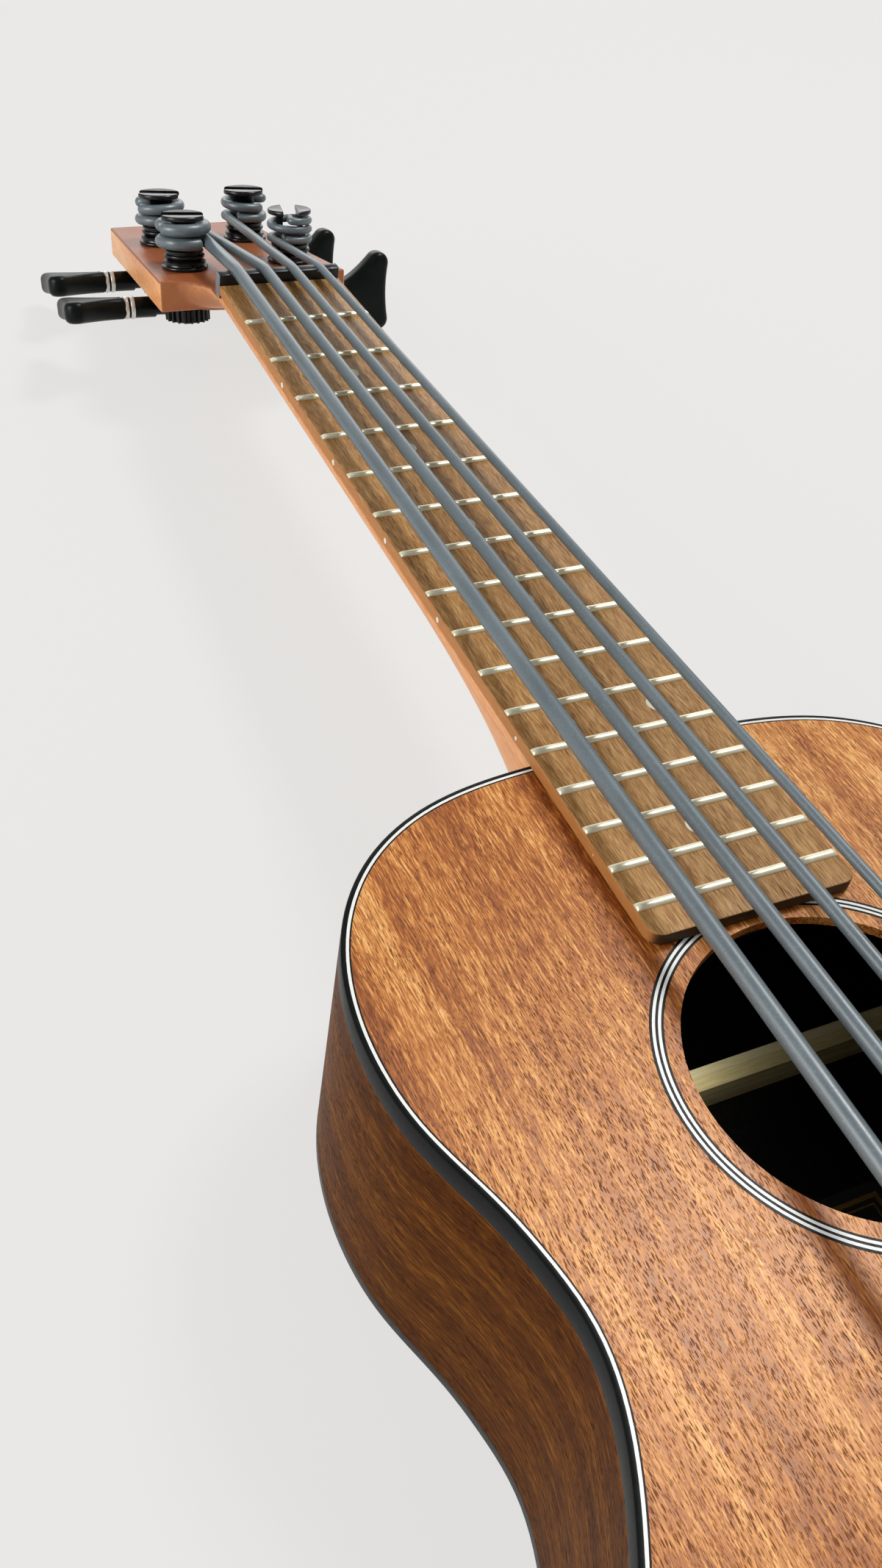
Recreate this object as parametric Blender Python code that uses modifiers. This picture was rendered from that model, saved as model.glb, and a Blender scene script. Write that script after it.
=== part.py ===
"""Bass ukulele: a short-scale, four-string fretted bass with a hollow wooden body.

Everything is modelled in the instrument's own frame and then laid on its flat back.
In the instrument frame the origin is the front edge of the nut on the fingerboard's top,
+X points to the treble side, +Y to the headstock and +Z out of the fingerboard, so a point
that lies a distance s down the string from the nut has y = -s. Lengths are in metres.
"""
import math

import bmesh
import bpy
import numpy as np
from mathutils import Matrix, Vector

# Strings and scale
SCALE_LENGTH = 0.530
FRET_COUNT = 16
BODY_JOINT_FRET = 12
STRING_RADII = (0.00245, 0.00210, 0.00180, 0.00150)
NUT_STRING_SPACING = 0.0111
SADDLE_STRING_SPACING = 0.0180
NUT_ACTION = 0.0022
SADDLE_ACTION = 0.0118

# Fits
SEAT = 0.0003
RUNNING = 0.0003

# Fingerboard, frets and nut
NUT_WIDTH = 0.0476
END_WIDTH = 0.0595
FINGERBOARD_END = 0.0093
FINGERBOARD_RISE = 0.0041
FINGERBOARD_CORNER = 0.0045
FRET_CROWN_WIDTH = 0.0021
FRET_CROWN_HEIGHT = 0.00075
FRET_TANG_WIDTH = 0.0005
FRET_TANG_DEPTH = 0.0014
FRET_INSET = 0.0003
NUT_THICKNESS = 0.0050
NUT_RISE = 0.0040
NUT_DEPTH = 0.0009
NUT_ROUNDING = 0.0012

# Neck and heel
NECK_DEPTH_NUT = 0.0160
NECK_DEPTH_HEEL = 0.0180
NECK_ROUNDING = 1.70
HEEL_START = 0.0880
HEEL_DROP = 0.0680
HEEL_WIDTH_SHARE = 0.94

# Headstock, in its own plane with y measured from behind the nut
HEAD_TILT = math.radians(12.5)
HEAD_DROP = 0.0054
HEAD_THICKNESS = 0.0118
HEAD_LENGTH = 0.1265
HEAD_SHOULDER = 0.0235
HEAD_WIDTH_FRONT = 0.0774
HEAD_WIDTH_TIP = 0.0626
HEAD_SHOULDER_RADIUS = 0.0140
SHOULDER_SQUARENESS = 6.0

# Tuning machines: posts in two pairs, gears and worms behind the headstock
POST_FRONT = (0.0224, 0.0432)
POST_REAR = (0.0186, 0.0891)
POST_HEIGHT = 0.0206
POST_SHAFT_RADIUS = 0.0048
POST_WAIST_RADIUS = 0.0054
POST_FLANGE_RADIUS = 0.0088
POST_FLANGE_THICKNESS = 0.0019
POST_COLLAR_RADIUS = 0.0080
POST_COLLAR_HEIGHT = 0.0034
POST_COLLAR_STEP = 0.0010
POST_EDGE = 0.0006
POST_TAIL_RADIUS = 0.0036
POST_TAIL_LENGTH = 0.0014
TUNER_TURNS = tuple(math.radians(angle) for angle in (5.5, 4.0, 5.5, 1.0))
BUSHING_HEIGHT = 0.0042
BUSHING_RADIUS = 0.0092
BUSHING_BARREL_RADIUS = 0.0068
BUSHING_BARREL_DEPTH = 0.0080
BUSHING_RIM = 0.0012
BUSHING_STEP = 0.0006
SLOT_DEPTH = 0.0080
PLATE_THICKNESS = 0.0016
PLATE_HALF_WIDTH = 0.0105
PLATE_BELOW_POST = 0.0085
PLATE_CHAMFER = 0.0030
GEAR_TEETH = 20
GEAR_TIP_RADIUS = 0.0090
GEAR_ROOT_RADIUS = 0.0077
GEAR_THICKNESS = 0.0050
GEAR_TIP_SHARE = 0.11
GEAR_ROOT_SHARE = 0.24
WORM_DROP = 0.0056
WORM_RADIUS = 0.0035
WORM_CORE_RADIUS = 0.0023
WORM_ENGAGEMENT = 0.0007
WORM_HALF_LENGTH = 0.0046
WORM_SHAFT_END = 0.0012
LUG_THICKNESS = 0.0022
LUG_RADIUS = 0.0040
KEY_SHAFT_RADIUS = 0.0022
KEY_NECK_RADIUS = 0.0033
KEY_BARREL_RADIUS = 0.0041
KEY_REACH = 0.0492
KEY_HUB_START = 0.0236
KEY_HALF_WIDTH = 0.0164
KEY_LOBE_RADIUS = 0.0045
KEY_THICKNESS = 0.0085
KEY_EDGE = 0.0026
KEY_BARREL_EDGE = 0.0006
KEY_FLANK_ANGLE = math.radians(45.0)
KEY_FLANK_STEPS = 5
KEY_LOBE_STEPS = 5
KEY_HOLLOW = 0.0010
KEY_STEP = 0.0003
KEY_TURN_BASS = math.radians(10.0)
KEY_TURN_TREBLE = math.radians(90.0)

# Body, seen from above: half widths and the stations where they are reached
UPPER_BOUT = 0.2048
WAIST = 0.1742
LOWER_BOUT = 0.2636
UPPER_STATION = 0.0704
WAIST_STATION = 0.1374
LOWER_STATION = 0.2840
BODY_LENGTH = 0.3594
BODY_DEPTH_HEEL = 0.0750
BACK_SLOPE = 0.046
TOP_THICKNESS = 0.0026
BACK_THICKNESS = 0.0026
SIDE_THICKNESS = 0.0020
BINDING_WIDTH = 0.0020
BINDING_HEIGHT = 0.0060
BACK_BINDING_HEIGHT = 0.0036
BACK_BINDING_LIFT = 0.0001
LINING_WIDTH = 0.0050
LINING_HEIGHT = 0.0120
SOUNDHOLE_GAP = 0.0015
SOUNDHOLE_RADIUS = 0.0402
BLOCK_WIDTH = 0.0640
NECK_BLOCK_LENGTH = 0.0300
TAIL_BLOCK_LENGTH = 0.0180
BRACE_WIDTH = 0.0090
BRACE_HEIGHT = 0.0110
TOP_BRACE_HEIGHT = 0.0090
BRACE_CHAMFER = 0.0030
BRACE_CREST_SHARE = 0.4
BACK_BRACE_SETBACKS = (0.0353, 0.2153)
TOP_BRACE_CLEARANCES = (0.0030, 0.0076)

# Bridge
BRIDGE_WIDTH = 0.1300
BRIDGE_LENGTH = 0.0340
BRIDGE_HEIGHT = 0.0098
BRIDGE_WING = 0.0036
BRIDGE_CORNER = 0.0060
BRIDGE_EDGE = 0.0012
BRIDGE_SHOULDER = 0.0040
BRIDGE_RAMP = 0.0100
BRIDGE_PLATE_SIZE = (0.1100, 0.0300, 0.0022)
SADDLE_THICKNESS = 0.0032
SADDLE_WIDTH = 0.0700
SADDLE_DEPTH = 0.0040
STRING_HOLE_SETBACK = 0.0125
STRING_TAIL = 0.0030
STRING_BEND = 0.0012
SADDLE_BREAK = math.radians(24.0)
WINDING_SLACK = 0.0008
FIRST_TURN = math.radians(290.0)
WOUND_TURN = math.radians(330.0)
SLOT_ANGLES = tuple(math.radians(angle) for angle in (165.0, 160.0, 340.0, 255.0))

# How finely round things are divided
OUTLINE_POINTS = 88
ROUND_STEPS = 16
SOUNDHOLE_STEPS = 40
WORM_STEPS = 12
STRING_SIDES = 2
MERGE_DISTANCE = 0.000001
THROUGH = 0.03

# Colours (red, green, blue), roughness and metallic value of each material
FINISHES = {
    "mahogany_top": ((0.36, 0.14, 0.055), 0.45, 0.0),
    "mahogany_sides": ((0.25, 0.115, 0.05), 0.5, 0.0),
    "neck_wood": ((0.52, 0.2, 0.07), 0.5, 0.0),
    "walnut_board": ((0.22, 0.13, 0.07), 0.6, 0.0),
    "spruce": ((0.6, 0.42, 0.24), 0.7, 0.0),
    "black_binding": ((0.01, 0.01, 0.012), 0.35, 0.0),
    "black_nut": ((0.012, 0.014, 0.016), 0.4, 0.0),
    "fret_metal": ((0.72, 0.68, 0.55), 0.25, 1.0),
    "black_metal": ((0.018, 0.019, 0.021), 0.38, 0.8),
    "rubber_string": ((0.07, 0.09, 0.11), 0.5, 0.0),
    "saddle_white": ((0.7, 0.68, 0.6), 0.4, 0.0),
}

TOP_PLANE = -FINGERBOARD_RISE
NECK_PLANE = TOP_PLANE
BODY_START = SCALE_LENGTH * (1.0 - 2.0 ** (-BODY_JOINT_FRET / 12.0)) - SEAT


def fret_distance(number):
    """Distance from the nut to a fret of the equal-tempered scale."""
    return SCALE_LENGTH * (1.0 - 2.0 ** (-number / 12.0))


BOARD_LENGTH = fret_distance(FRET_COUNT) + FINGERBOARD_END
HEEL_LENGTH = BODY_START - SEAT
SOUNDHOLE_STATION = BOARD_LENGTH + SOUNDHOLE_GAP + SOUNDHOLE_RADIUS


def board_half_width(distance):
    """Half the fingerboard's width at a distance from the nut."""
    return 0.5 * (NUT_WIDTH + (END_WIDTH - NUT_WIDTH) * distance / BOARD_LENGTH)


def back_plane(distance):
    """Height of the flat back's outer face at a distance from the nut."""
    return TOP_PLANE - BODY_DEPTH_HEEL - BACK_SLOPE * (distance - BODY_START)


# Scene helpers

def clear_scene():
    """Remove every object of the start-up scene."""
    for item in list(bpy.data.objects):
        bpy.data.objects.remove(item, do_unlink=True)


def new_collection(name):
    """Make a collection and link it to the scene."""
    collection = bpy.data.collections.new(name)
    bpy.context.scene.collection.children.link(collection)
    return collection


def new_material(name):
    """Make one Principled material from its entry in FINISHES."""
    colour, roughness, metallic = FINISHES[name]
    material = bpy.data.materials.new(name)
    material.use_nodes = True
    shader = material.node_tree.nodes["Principled BSDF"]
    shader.inputs["Base Color"].default_value = (*colour, 1.0)
    shader.inputs["Roughness"].default_value = roughness
    shader.inputs["Metallic"].default_value = metallic
    return material


class Workshop:
    """The collections, frames and materials that every sub-part is made with."""

    def __init__(self):
        """Make the collections and the two frames, and start with no materials."""
        self.parts = new_collection("bass_ukulele")
        self.cutters = new_collection("cutters")
        self.materials = {}
        self.body_frame = self.empty("instrument_frame", None)
        tilt = -math.atan(BACK_SLOPE)
        rest_station = BODY_START + 0.5 * BODY_LENGTH
        rest_point = Vector((0.0, -rest_station, back_plane(rest_station)))
        self.body_frame.rotation_euler = (tilt, 0.0, 0.0)
        self.body_frame.location = -(Matrix.Rotation(tilt, 3, "X") @ rest_point)
        self.head_frame = self.empty("headstock_frame", self.body_frame)
        self.head_frame.location = (0.0, NUT_THICKNESS, -HEAD_DROP)
        self.head_frame.rotation_euler = (-HEAD_TILT, 0.0, 0.0)

    def empty(self, name, parent):
        """Make an empty that carries other objects."""
        frame = bpy.data.objects.new(name, None)
        self.parts.objects.link(frame)
        frame.parent = parent
        return frame

    def material(self, name):
        """Give the named material, making it the first time."""
        if name not in self.materials:
            self.materials[name] = new_material(name)
        return self.materials[name]

    def place(self, mesh, name, material, parent, location=(0.0, 0.0, 0.0)):
        """Link a mesh as a named sub-part under a frame."""
        mesh.name = name
        piece = bpy.data.objects.new(name, mesh)
        self.parts.objects.link(piece)
        piece.parent = parent
        piece.location = location
        mesh.materials.clear()
        mesh.materials.append(self.material(material))
        mesh.shade_smooth()
        mesh.set_sharp_from_angle(angle=math.radians(35.0))
        return piece

    def cutter(self, mesh, name, parent, location=(0.0, 0.0, 0.0)):
        """Link a mesh as a hidden cutter under a frame."""
        mesh.name = name
        tool = bpy.data.objects.new(name, mesh)
        self.cutters.objects.link(tool)
        tool.parent = parent
        tool.location = location
        tool.hide_render = True
        tool.display_type = "WIRE"
        return tool


def combine(piece, tool, operation):
    """Add an exact Boolean of a cutter to a sub-part."""
    modifier = piece.modifiers.new(tool.name, "BOOLEAN")
    modifier.object = tool
    modifier.operation = operation
    modifier.solver = "EXACT"
    return modifier


# Mesh helpers

def mesh_from(model):
    """Turn a bmesh into mesh data with its faces pointing out."""
    bmesh.ops.recalc_face_normals(model, faces=model.faces)
    mesh = bpy.data.meshes.new("mesh")
    model.to_mesh(mesh)
    model.free()
    return mesh


def box_mesh(low, high):
    """A box between two corners."""
    model = bmesh.new()
    bmesh.ops.create_cube(model, size=1.0)
    size = [b - a for a, b in zip(low, high)]
    middle = [0.5 * (a + b) for a, b in zip(low, high)]
    bmesh.ops.scale(model, vec=size, verts=model.verts)
    bmesh.ops.translate(model, vec=middle, verts=model.verts)
    return mesh_from(model)


def boxes_mesh(corners):
    """Several separate boxes in one mesh, for use as one cutter."""
    model = bmesh.new()
    for low, high in corners:
        made = bmesh.ops.create_cube(model, size=1.0)["verts"]
        size = [b - a for a, b in zip(low, high)]
        middle = [0.5 * (a + b) for a, b in zip(low, high)]
        bmesh.ops.scale(model, vec=size, verts=made)
        bmesh.ops.translate(model, vec=middle, verts=made)
    return mesh_from(model)


def rods_mesh(rods, steps=ROUND_STEPS):
    """Separate round rods in one mesh: each is two end points and a radius."""
    model = bmesh.new()
    for start, end, radius in rods:
        start, end = Vector(start), Vector(end)
        along = end - start
        turn = along.to_track_quat("Z", "Y").to_matrix().to_4x4()
        place = Matrix.Translation(0.5 * (start + end)) @ turn
        bmesh.ops.create_cone(model, cap_ends=True, segments=steps, radius1=radius,
                              radius2=radius, depth=along.length, matrix=place)
    return mesh_from(model)


def loft_mesh(rings):
    """Join rings with equal numbers of points into one closed body."""
    model = bmesh.new()
    loops = [[model.verts.new(point) for point in ring] for ring in rings]
    count = len(loops[0])
    for one, two in zip(loops, loops[1:]):
        for i in range(count):
            j = (i + 1) % count
            model.faces.new((one[i], one[j], two[j], two[i]))
    model.faces.new(loops[0])
    model.faces.new(loops[-1])
    return mesh_from(model)


def turned_piece(shop, name, material, parent, profile, closed=False):
    """A piece turned about Z from (radius, height) points that run down its outer side."""
    model = bmesh.new()
    points = [model.verts.new((radius, 0.0, height)) for radius, height in profile]
    for one, two in zip(points, points[1:]):
        model.edges.new((one, two))
    if closed:
        model.edges.new((points[-1], points[0]))
    mesh = bpy.data.meshes.new(name)
    model.to_mesh(mesh)
    model.free()
    piece = shop.place(mesh, name, material, parent)
    turning = piece.modifiers.new("turning", "SCREW")
    turning.axis = "Z"
    turning.steps = ROUND_STEPS
    turning.render_steps = ROUND_STEPS
    turning.use_merge_vertices = True
    turning.merge_threshold = MERGE_DISTANCE
    return piece


def flat_mesh(points, bottom, top, edge=0.0, edge_steps=1):
    """Extrude a flat outline between two heights, with its edges rounded off by edge."""
    curve = bpy.data.curves.new("outline", "CURVE")
    curve.dimensions = "2D"
    curve.fill_mode = "BOTH"
    curve.extrude = 0.5 * (top - bottom) - edge
    curve.bevel_depth = edge
    curve.bevel_resolution = edge_steps
    curve.offset = -edge
    spline = curve.splines.new("POLY")
    spline.points.add(len(points) - 1)
    for target, point in zip(spline.points, points):
        target.co = (point[0], point[1], 0.0, 1.0)
    spline.use_cyclic_u = True
    return mesh_of_curve(curve, Matrix.Translation((0.0, 0.0, 0.5 * (top + bottom))))


def bar_mesh(section, low, high):
    """A bar of one (y, z) section that runs along X between two places."""
    mesh = flat_mesh(section, low, high)
    mesh.transform(Matrix(((0, 0, 1, 0), (1, 0, 0, 0), (0, 1, 0, 0), (0, 0, 0, 1))))
    return mesh


def tube_mesh(points, radius, sides=STRING_SIDES):
    """A round tube along a list of points, closed at both ends."""
    curve = bpy.data.curves.new("tube", "CURVE")
    curve.dimensions = "3D"
    curve.bevel_depth = radius
    curve.bevel_resolution = sides
    curve.use_fill_caps = True
    spline = curve.splines.new("POLY")
    spline.points.add(len(points) - 1)
    for target, point in zip(spline.points, points):
        target.co = (*point, 1.0)
    return mesh_of_curve(curve, Matrix.Identity(4))


def mesh_of_curve(curve, move):
    """Make a curve's surface a welded, closed mesh."""
    holder = bpy.data.objects.new("curve", curve)
    bpy.context.scene.collection.objects.link(holder)
    bpy.context.view_layer.update()
    graph = bpy.context.evaluated_depsgraph_get()
    raw = bpy.data.meshes.new_from_object(holder.evaluated_get(graph))
    bpy.data.objects.remove(holder, do_unlink=True)
    model = bmesh.new()
    model.from_mesh(raw)
    bpy.data.meshes.remove(raw)
    bmesh.ops.remove_doubles(model, verts=model.verts, dist=MERGE_DISTANCE)
    bmesh.ops.transform(model, matrix=move, verts=model.verts)
    return mesh_from(model)


# The body's outline

def smooth_closed(points, count):
    """Pass a smooth closed curve through the points and space new points evenly on it."""
    knots = np.array(points, dtype=float)
    steps = np.linalg.norm(np.roll(knots, -1, axis=0) - knots, axis=1)
    size = len(knots)
    system = np.zeros((size, size))
    right = np.zeros((size, 2))
    for i in range(size):
        before, after = steps[i - 1], steps[i]
        system[i, i - 1] += before
        system[i, i] += 2.0 * (before + after)
        system[i, (i + 1) % size] += after
        rise = (knots[(i + 1) % size] - knots[i]) / after
        fall = (knots[i] - knots[i - 1]) / before
        right[i] = 6.0 * (rise - fall)
    bend = np.linalg.solve(system, right)
    fine = []
    for i in range(size):
        j = (i + 1) % size
        width = steps[i]
        for part in np.linspace(0.0, 1.0, 24, endpoint=False):
            a, b = 1.0 - part, part
            curve_part = (a ** 3 - a) * bend[i] + (b ** 3 - b) * bend[j]
            fine.append(a * knots[i] + b * knots[j] + curve_part * width * width / 6.0)
    return even_points(np.array(fine), count)


def even_points(loop, count):
    """Space points evenly along a closed loop, starting at its first point."""
    closed = np.vstack([loop, loop[:1]])
    lengths = np.concatenate([[0.0], np.cumsum(np.linalg.norm(np.diff(closed, axis=0), axis=1))])
    wanted = np.linspace(0.0, lengths[-1], count, endpoint=False)
    return np.column_stack([np.interp(wanted, lengths, closed[:, k]) for k in (0, 1)])


def body_outline(count=OUTLINE_POINTS):
    """Outer outline of the body, clockwise from the middle of the neck joint."""
    upper, waist, lower = 0.5 * UPPER_BOUT, 0.5 * WAIST, 0.5 * LOWER_BOUT
    half = [(0.0, 0.0)]
    for width, station in ((0.293, 0.010), (0.576, 0.077), (0.772, 0.230), (0.913, 0.474),
                           (0.985, 0.761), (1.0, 1.0)):
        half.append((width * upper, station * UPPER_STATION))
    for blend, part in ((0.162, 0.284), (0.643, 0.597), (0.883, 0.803), (1.0, 1.0)):
        half.append((upper + blend * (waist - upper),
                     UPPER_STATION + part * (WAIST_STATION - UPPER_STATION)))
    for blend, part in ((0.120, 0.168), (0.446, 0.359), (0.737, 0.543), (0.9375, 0.768),
                        (1.0, 1.0)):
        half.append((waist + blend * (lower - waist),
                     WAIST_STATION + part * (LOWER_STATION - WAIST_STATION)))
    for width, part in ((0.956, 0.371), (0.827, 0.69), (0.607, 0.889), (0.341, 0.976)):
        half.append((width * lower, LOWER_STATION + part * (BODY_LENGTH - LOWER_STATION)))
    half.append((0.0, BODY_LENGTH))
    mirrored = [(-x, s) for x, s in reversed(half[1:-1])]
    return smooth_closed([(x, -BODY_START - s) for x, s in half + mirrored], count)


def inset_loop(loop, distance):
    """Move a clockwise closed loop inwards by a distance."""
    ahead = np.roll(loop, -1, axis=0) - np.roll(loop, 1, axis=0)
    inward = np.column_stack([ahead[:, 1], -ahead[:, 0]])
    inward /= np.linalg.norm(inward, axis=1)[:, None]
    return loop + inward * distance


def prism_mesh(loop, bottom, top):
    """A solid slab inside a closed loop; heights are numbers or functions of distance."""
    def level(height, y):
        return height(-y) if callable(height) else height
    rings = [[(x, y, level(height, y)) for x, y in loop] for height in (bottom, top)]
    return loft_mesh(rings)


def wall_piece(shop, name, material, loop, bottom, top, width, closed=True):
    """A wall of even width along the outline, thickened inwards from its outer face."""
    def level(height, y):
        return height(-y) if callable(height) else height
    model = bmesh.new()
    low = [model.verts.new((x, y, level(bottom, y))) for x, y in loop]
    high = [model.verts.new((x, y, level(top, y))) for x, y in loop]
    count = len(loop)
    for i in range(count if closed else count - 1):
        j = (i + 1) % count
        model.faces.new((low[i], high[i], high[j], low[j]))
    mesh = bpy.data.meshes.new(name)
    model.to_mesh(mesh)
    model.free()
    piece = shop.place(mesh, name, material, shop.body_frame)
    thick = piece.modifiers.new("thickness", "SOLIDIFY")
    thick.thickness = width
    thick.offset = -1.0
    thick.use_even_offset = True
    return piece


def inner_prism(shop, name, inset):
    """A cutter that fills the body inside its sides, for pieces trimmed to fit."""
    loop = inset_loop(body_outline(), inset)
    mesh = prism_mesh(loop, lambda s: back_plane(s) - 0.01, TOP_PLANE + 0.01)
    return shop.cutter(mesh, name, shop.body_frame)


# Body

def side_half(shop, name, sign):
    """One bent side, from the neck joint to the tail, standing between the bindings."""
    half = body_outline()[:OUTLINE_POINTS // 2 + 1].copy()
    half[0, 0] = half[-1, 0] = 0.5 * SEAT
    half[:, 0] *= sign
    if sign < 0:
        half = half[::-1]
    wall_piece(shop, name, "mahogany_sides", half,
               lambda s: back_plane(s) + BACK_BINDING_HEIGHT + SEAT,
               TOP_PLANE - BINDING_HEIGHT - SEAT, SIDE_THICKNESS, closed=False)


def soundboard(shop):
    """The top, inside its binding, with the soundhole and the holes for the strings."""
    loop = inset_loop(body_outline(), BINDING_WIDTH + SEAT)
    piece = shop.place(flat_mesh(loop, TOP_PLANE - TOP_THICKNESS, TOP_PLANE), "soundboard",
                       "mahogany_top", shop.body_frame)
    hole = rods_mesh([((0.0, -SOUNDHOLE_STATION, TOP_PLANE - THROUGH),
                       (0.0, -SOUNDHOLE_STATION, TOP_PLANE + THROUGH), SOUNDHOLE_RADIUS)],
                     SOUNDHOLE_STEPS)
    combine(piece, shop.cutter(hole, "soundhole_cut", shop.body_frame), "DIFFERENCE")
    combine(piece, bpy.data.objects["string_holes"], "DIFFERENCE")


def back_plate(shop):
    """The flat back, inside its binding, sloped so that the body is deepest at the tail."""
    loop = inset_loop(body_outline(), BINDING_WIDTH + SEAT)
    mesh = flat_mesh(loop, 0.0, BACK_THICKNESS)
    slope = Matrix.Identity(4)
    slope[2][1] = BACK_SLOPE
    slope[2][3] = back_plane(0.0)
    mesh.transform(slope)
    shop.place(mesh, "back_plate", "mahogany_sides", shop.body_frame)


def bindings(shop):
    """The black strips let into the top and back edges."""
    loop = body_outline()
    wall_piece(shop, "binding_top", "black_binding", loop, TOP_PLANE - BINDING_HEIGHT, TOP_PLANE,
               BINDING_WIDTH)
    wall_piece(shop, "binding_back", "black_binding", loop,
               lambda s: back_plane(s) + BACK_BINDING_LIFT,
               lambda s: back_plane(s) + BACK_BINDING_HEIGHT, BINDING_WIDTH)


def linings(shop):
    """The strips that widen the glued edge between the sides and each plate."""
    loop = inset_loop(body_outline(), SIDE_THICKNESS + SEAT)
    top = TOP_PLANE - TOP_THICKNESS - SEAT
    wall_piece(shop, "lining_top", "spruce", loop, top - LINING_HEIGHT, top, LINING_WIDTH)

    def back(distance):
        return back_plane(distance) + BACK_THICKNESS + SEAT
    wall_piece(shop, "lining_back", "spruce", loop, back,
               lambda s: back(s) + LINING_HEIGHT, LINING_WIDTH)


def lining_notch(shop, name, low, high):
    """A ring slightly larger than a lining, which notches the pieces it runs through."""
    loop = inset_loop(body_outline(), SIDE_THICKNESS)
    ring = wall_piece(shop, name, "spruce", loop, low, high, LINING_WIDTH + 2.0 * SEAT)
    shop.parts.objects.unlink(ring)
    shop.cutters.objects.link(ring)
    ring.hide_render = True
    ring.display_type = "WIRE"


def block(shop, name, start, end):
    """A solid block between top and back, shaped to the sides and notched for the linings."""
    low = back_plane(max(start, end)) - THROUGH
    mesh = box_mesh((-0.5 * BLOCK_WIDTH, -end, low),
                    (0.5 * BLOCK_WIDTH, -start, TOP_PLANE + THROUGH))
    piece = shop.place(mesh, name, "spruce", shop.body_frame)
    combine(piece, bpy.data.objects["block_room"], "INTERSECT")
    combine(piece, bpy.data.objects["lining_notch_top"], "DIFFERENCE")
    combine(piece, bpy.data.objects["lining_notch_back"], "DIFFERENCE")


def brace(shop, name, station, on_back):
    """A bar across the inside of the top or the back, trimmed to the linings."""
    half = 0.5 * BRACE_WIDTH
    reach = 0.5 * LOWER_BOUT
    if on_back:
        floor = [back_plane(station + side) + BACK_THICKNESS + SEAT for side in (-half, half)]
        crown = max(floor) + BRACE_HEIGHT
        foot, step = floor, -BRACE_CHAMFER
    else:
        roof = TOP_PLANE - TOP_THICKNESS - SEAT
        crown = roof - TOP_BRACE_HEIGHT
        foot, step = (roof, roof), BRACE_CHAMFER
    crest = BRACE_CREST_SHARE * half
    section = [(half, foot[0]), (half, crown + step), (crest, crown), (-crest, crown),
               (-half, crown + step), (-half, foot[1])]
    piece = shop.place(bar_mesh(section, -reach, reach), name, "spruce", shop.body_frame,
                       (0.0, -station, 0.0))
    combine(piece, bpy.data.objects["brace_room"], "INTERSECT")


def body(shop):
    """Every piece of the hollow body."""
    top = TOP_PLANE - TOP_THICKNESS
    lining_notch(shop, "lining_notch_top", top - LINING_HEIGHT - 2.0 * SEAT, top + 0.001)
    lining_notch(shop, "lining_notch_back", lambda s: back_plane(s) + BACK_THICKNESS - 0.001,
                 lambda s: back_plane(s) + BACK_THICKNESS + LINING_HEIGHT + 2.0 * SEAT)
    room = inset_loop(body_outline(), SIDE_THICKNESS + SEAT)
    mesh = prism_mesh(room, lambda s: back_plane(s) + BACK_THICKNESS + SEAT,
                      TOP_PLANE - TOP_THICKNESS - SEAT)
    shop.cutter(mesh, "block_room", shop.body_frame)
    inner_prism(shop, "brace_room", SIDE_THICKNESS + LINING_WIDTH + 2.0 * SEAT)
    string_holes(shop)
    soundboard(shop)
    back_plate(shop)
    side_half(shop, "side_treble", 1.0)
    side_half(shop, "side_bass", -1.0)
    bindings(shop)
    linings(shop)
    block(shop, "neck_block", BODY_START, BODY_START + NECK_BLOCK_LENGTH)
    tail = BODY_START + BODY_LENGTH
    block(shop, "tail_block", tail - TAIL_BLOCK_LENGTH, tail)
    for name, setback in zip(("back_brace_upper", "back_brace_lower"), BACK_BRACE_SETBACKS):
        brace(shop, name, BODY_START + NECK_BLOCK_LENGTH + setback, True)
    names = ("top_brace_upper", "top_brace_lower")
    for name, clearance, way in zip(names, TOP_BRACE_CLEARANCES, (-1.0, 1.0)):
        reach = SOUNDHOLE_RADIUS + clearance + 0.5 * BRACE_WIDTH
        brace(shop, name, SOUNDHOLE_STATION + way * reach, False)


# Bridge

def string_side(index):
    """Where a string sits across the neck, in spacings from the middle."""
    return index - 0.5 * (len(STRING_RADII) - 1)


def saddle_x(index):
    """Sideways place of a string at the saddle."""
    return string_side(index) * SADDLE_STRING_SPACING


def string_holes(shop):
    """Cutters for the holes that the strings pass down through the bridge and top."""
    rods = []
    for index, radius in enumerate(STRING_RADII):
        x, y = saddle_x(index), -SCALE_LENGTH - STRING_HOLE_SETBACK
        rods.append(((x, y, TOP_PLANE - THROUGH), (x, y, TOP_PLANE + THROUGH), radius + SEAT))
    shop.cutter(rods_mesh(rods, 12), "string_holes", shop.body_frame)


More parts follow.
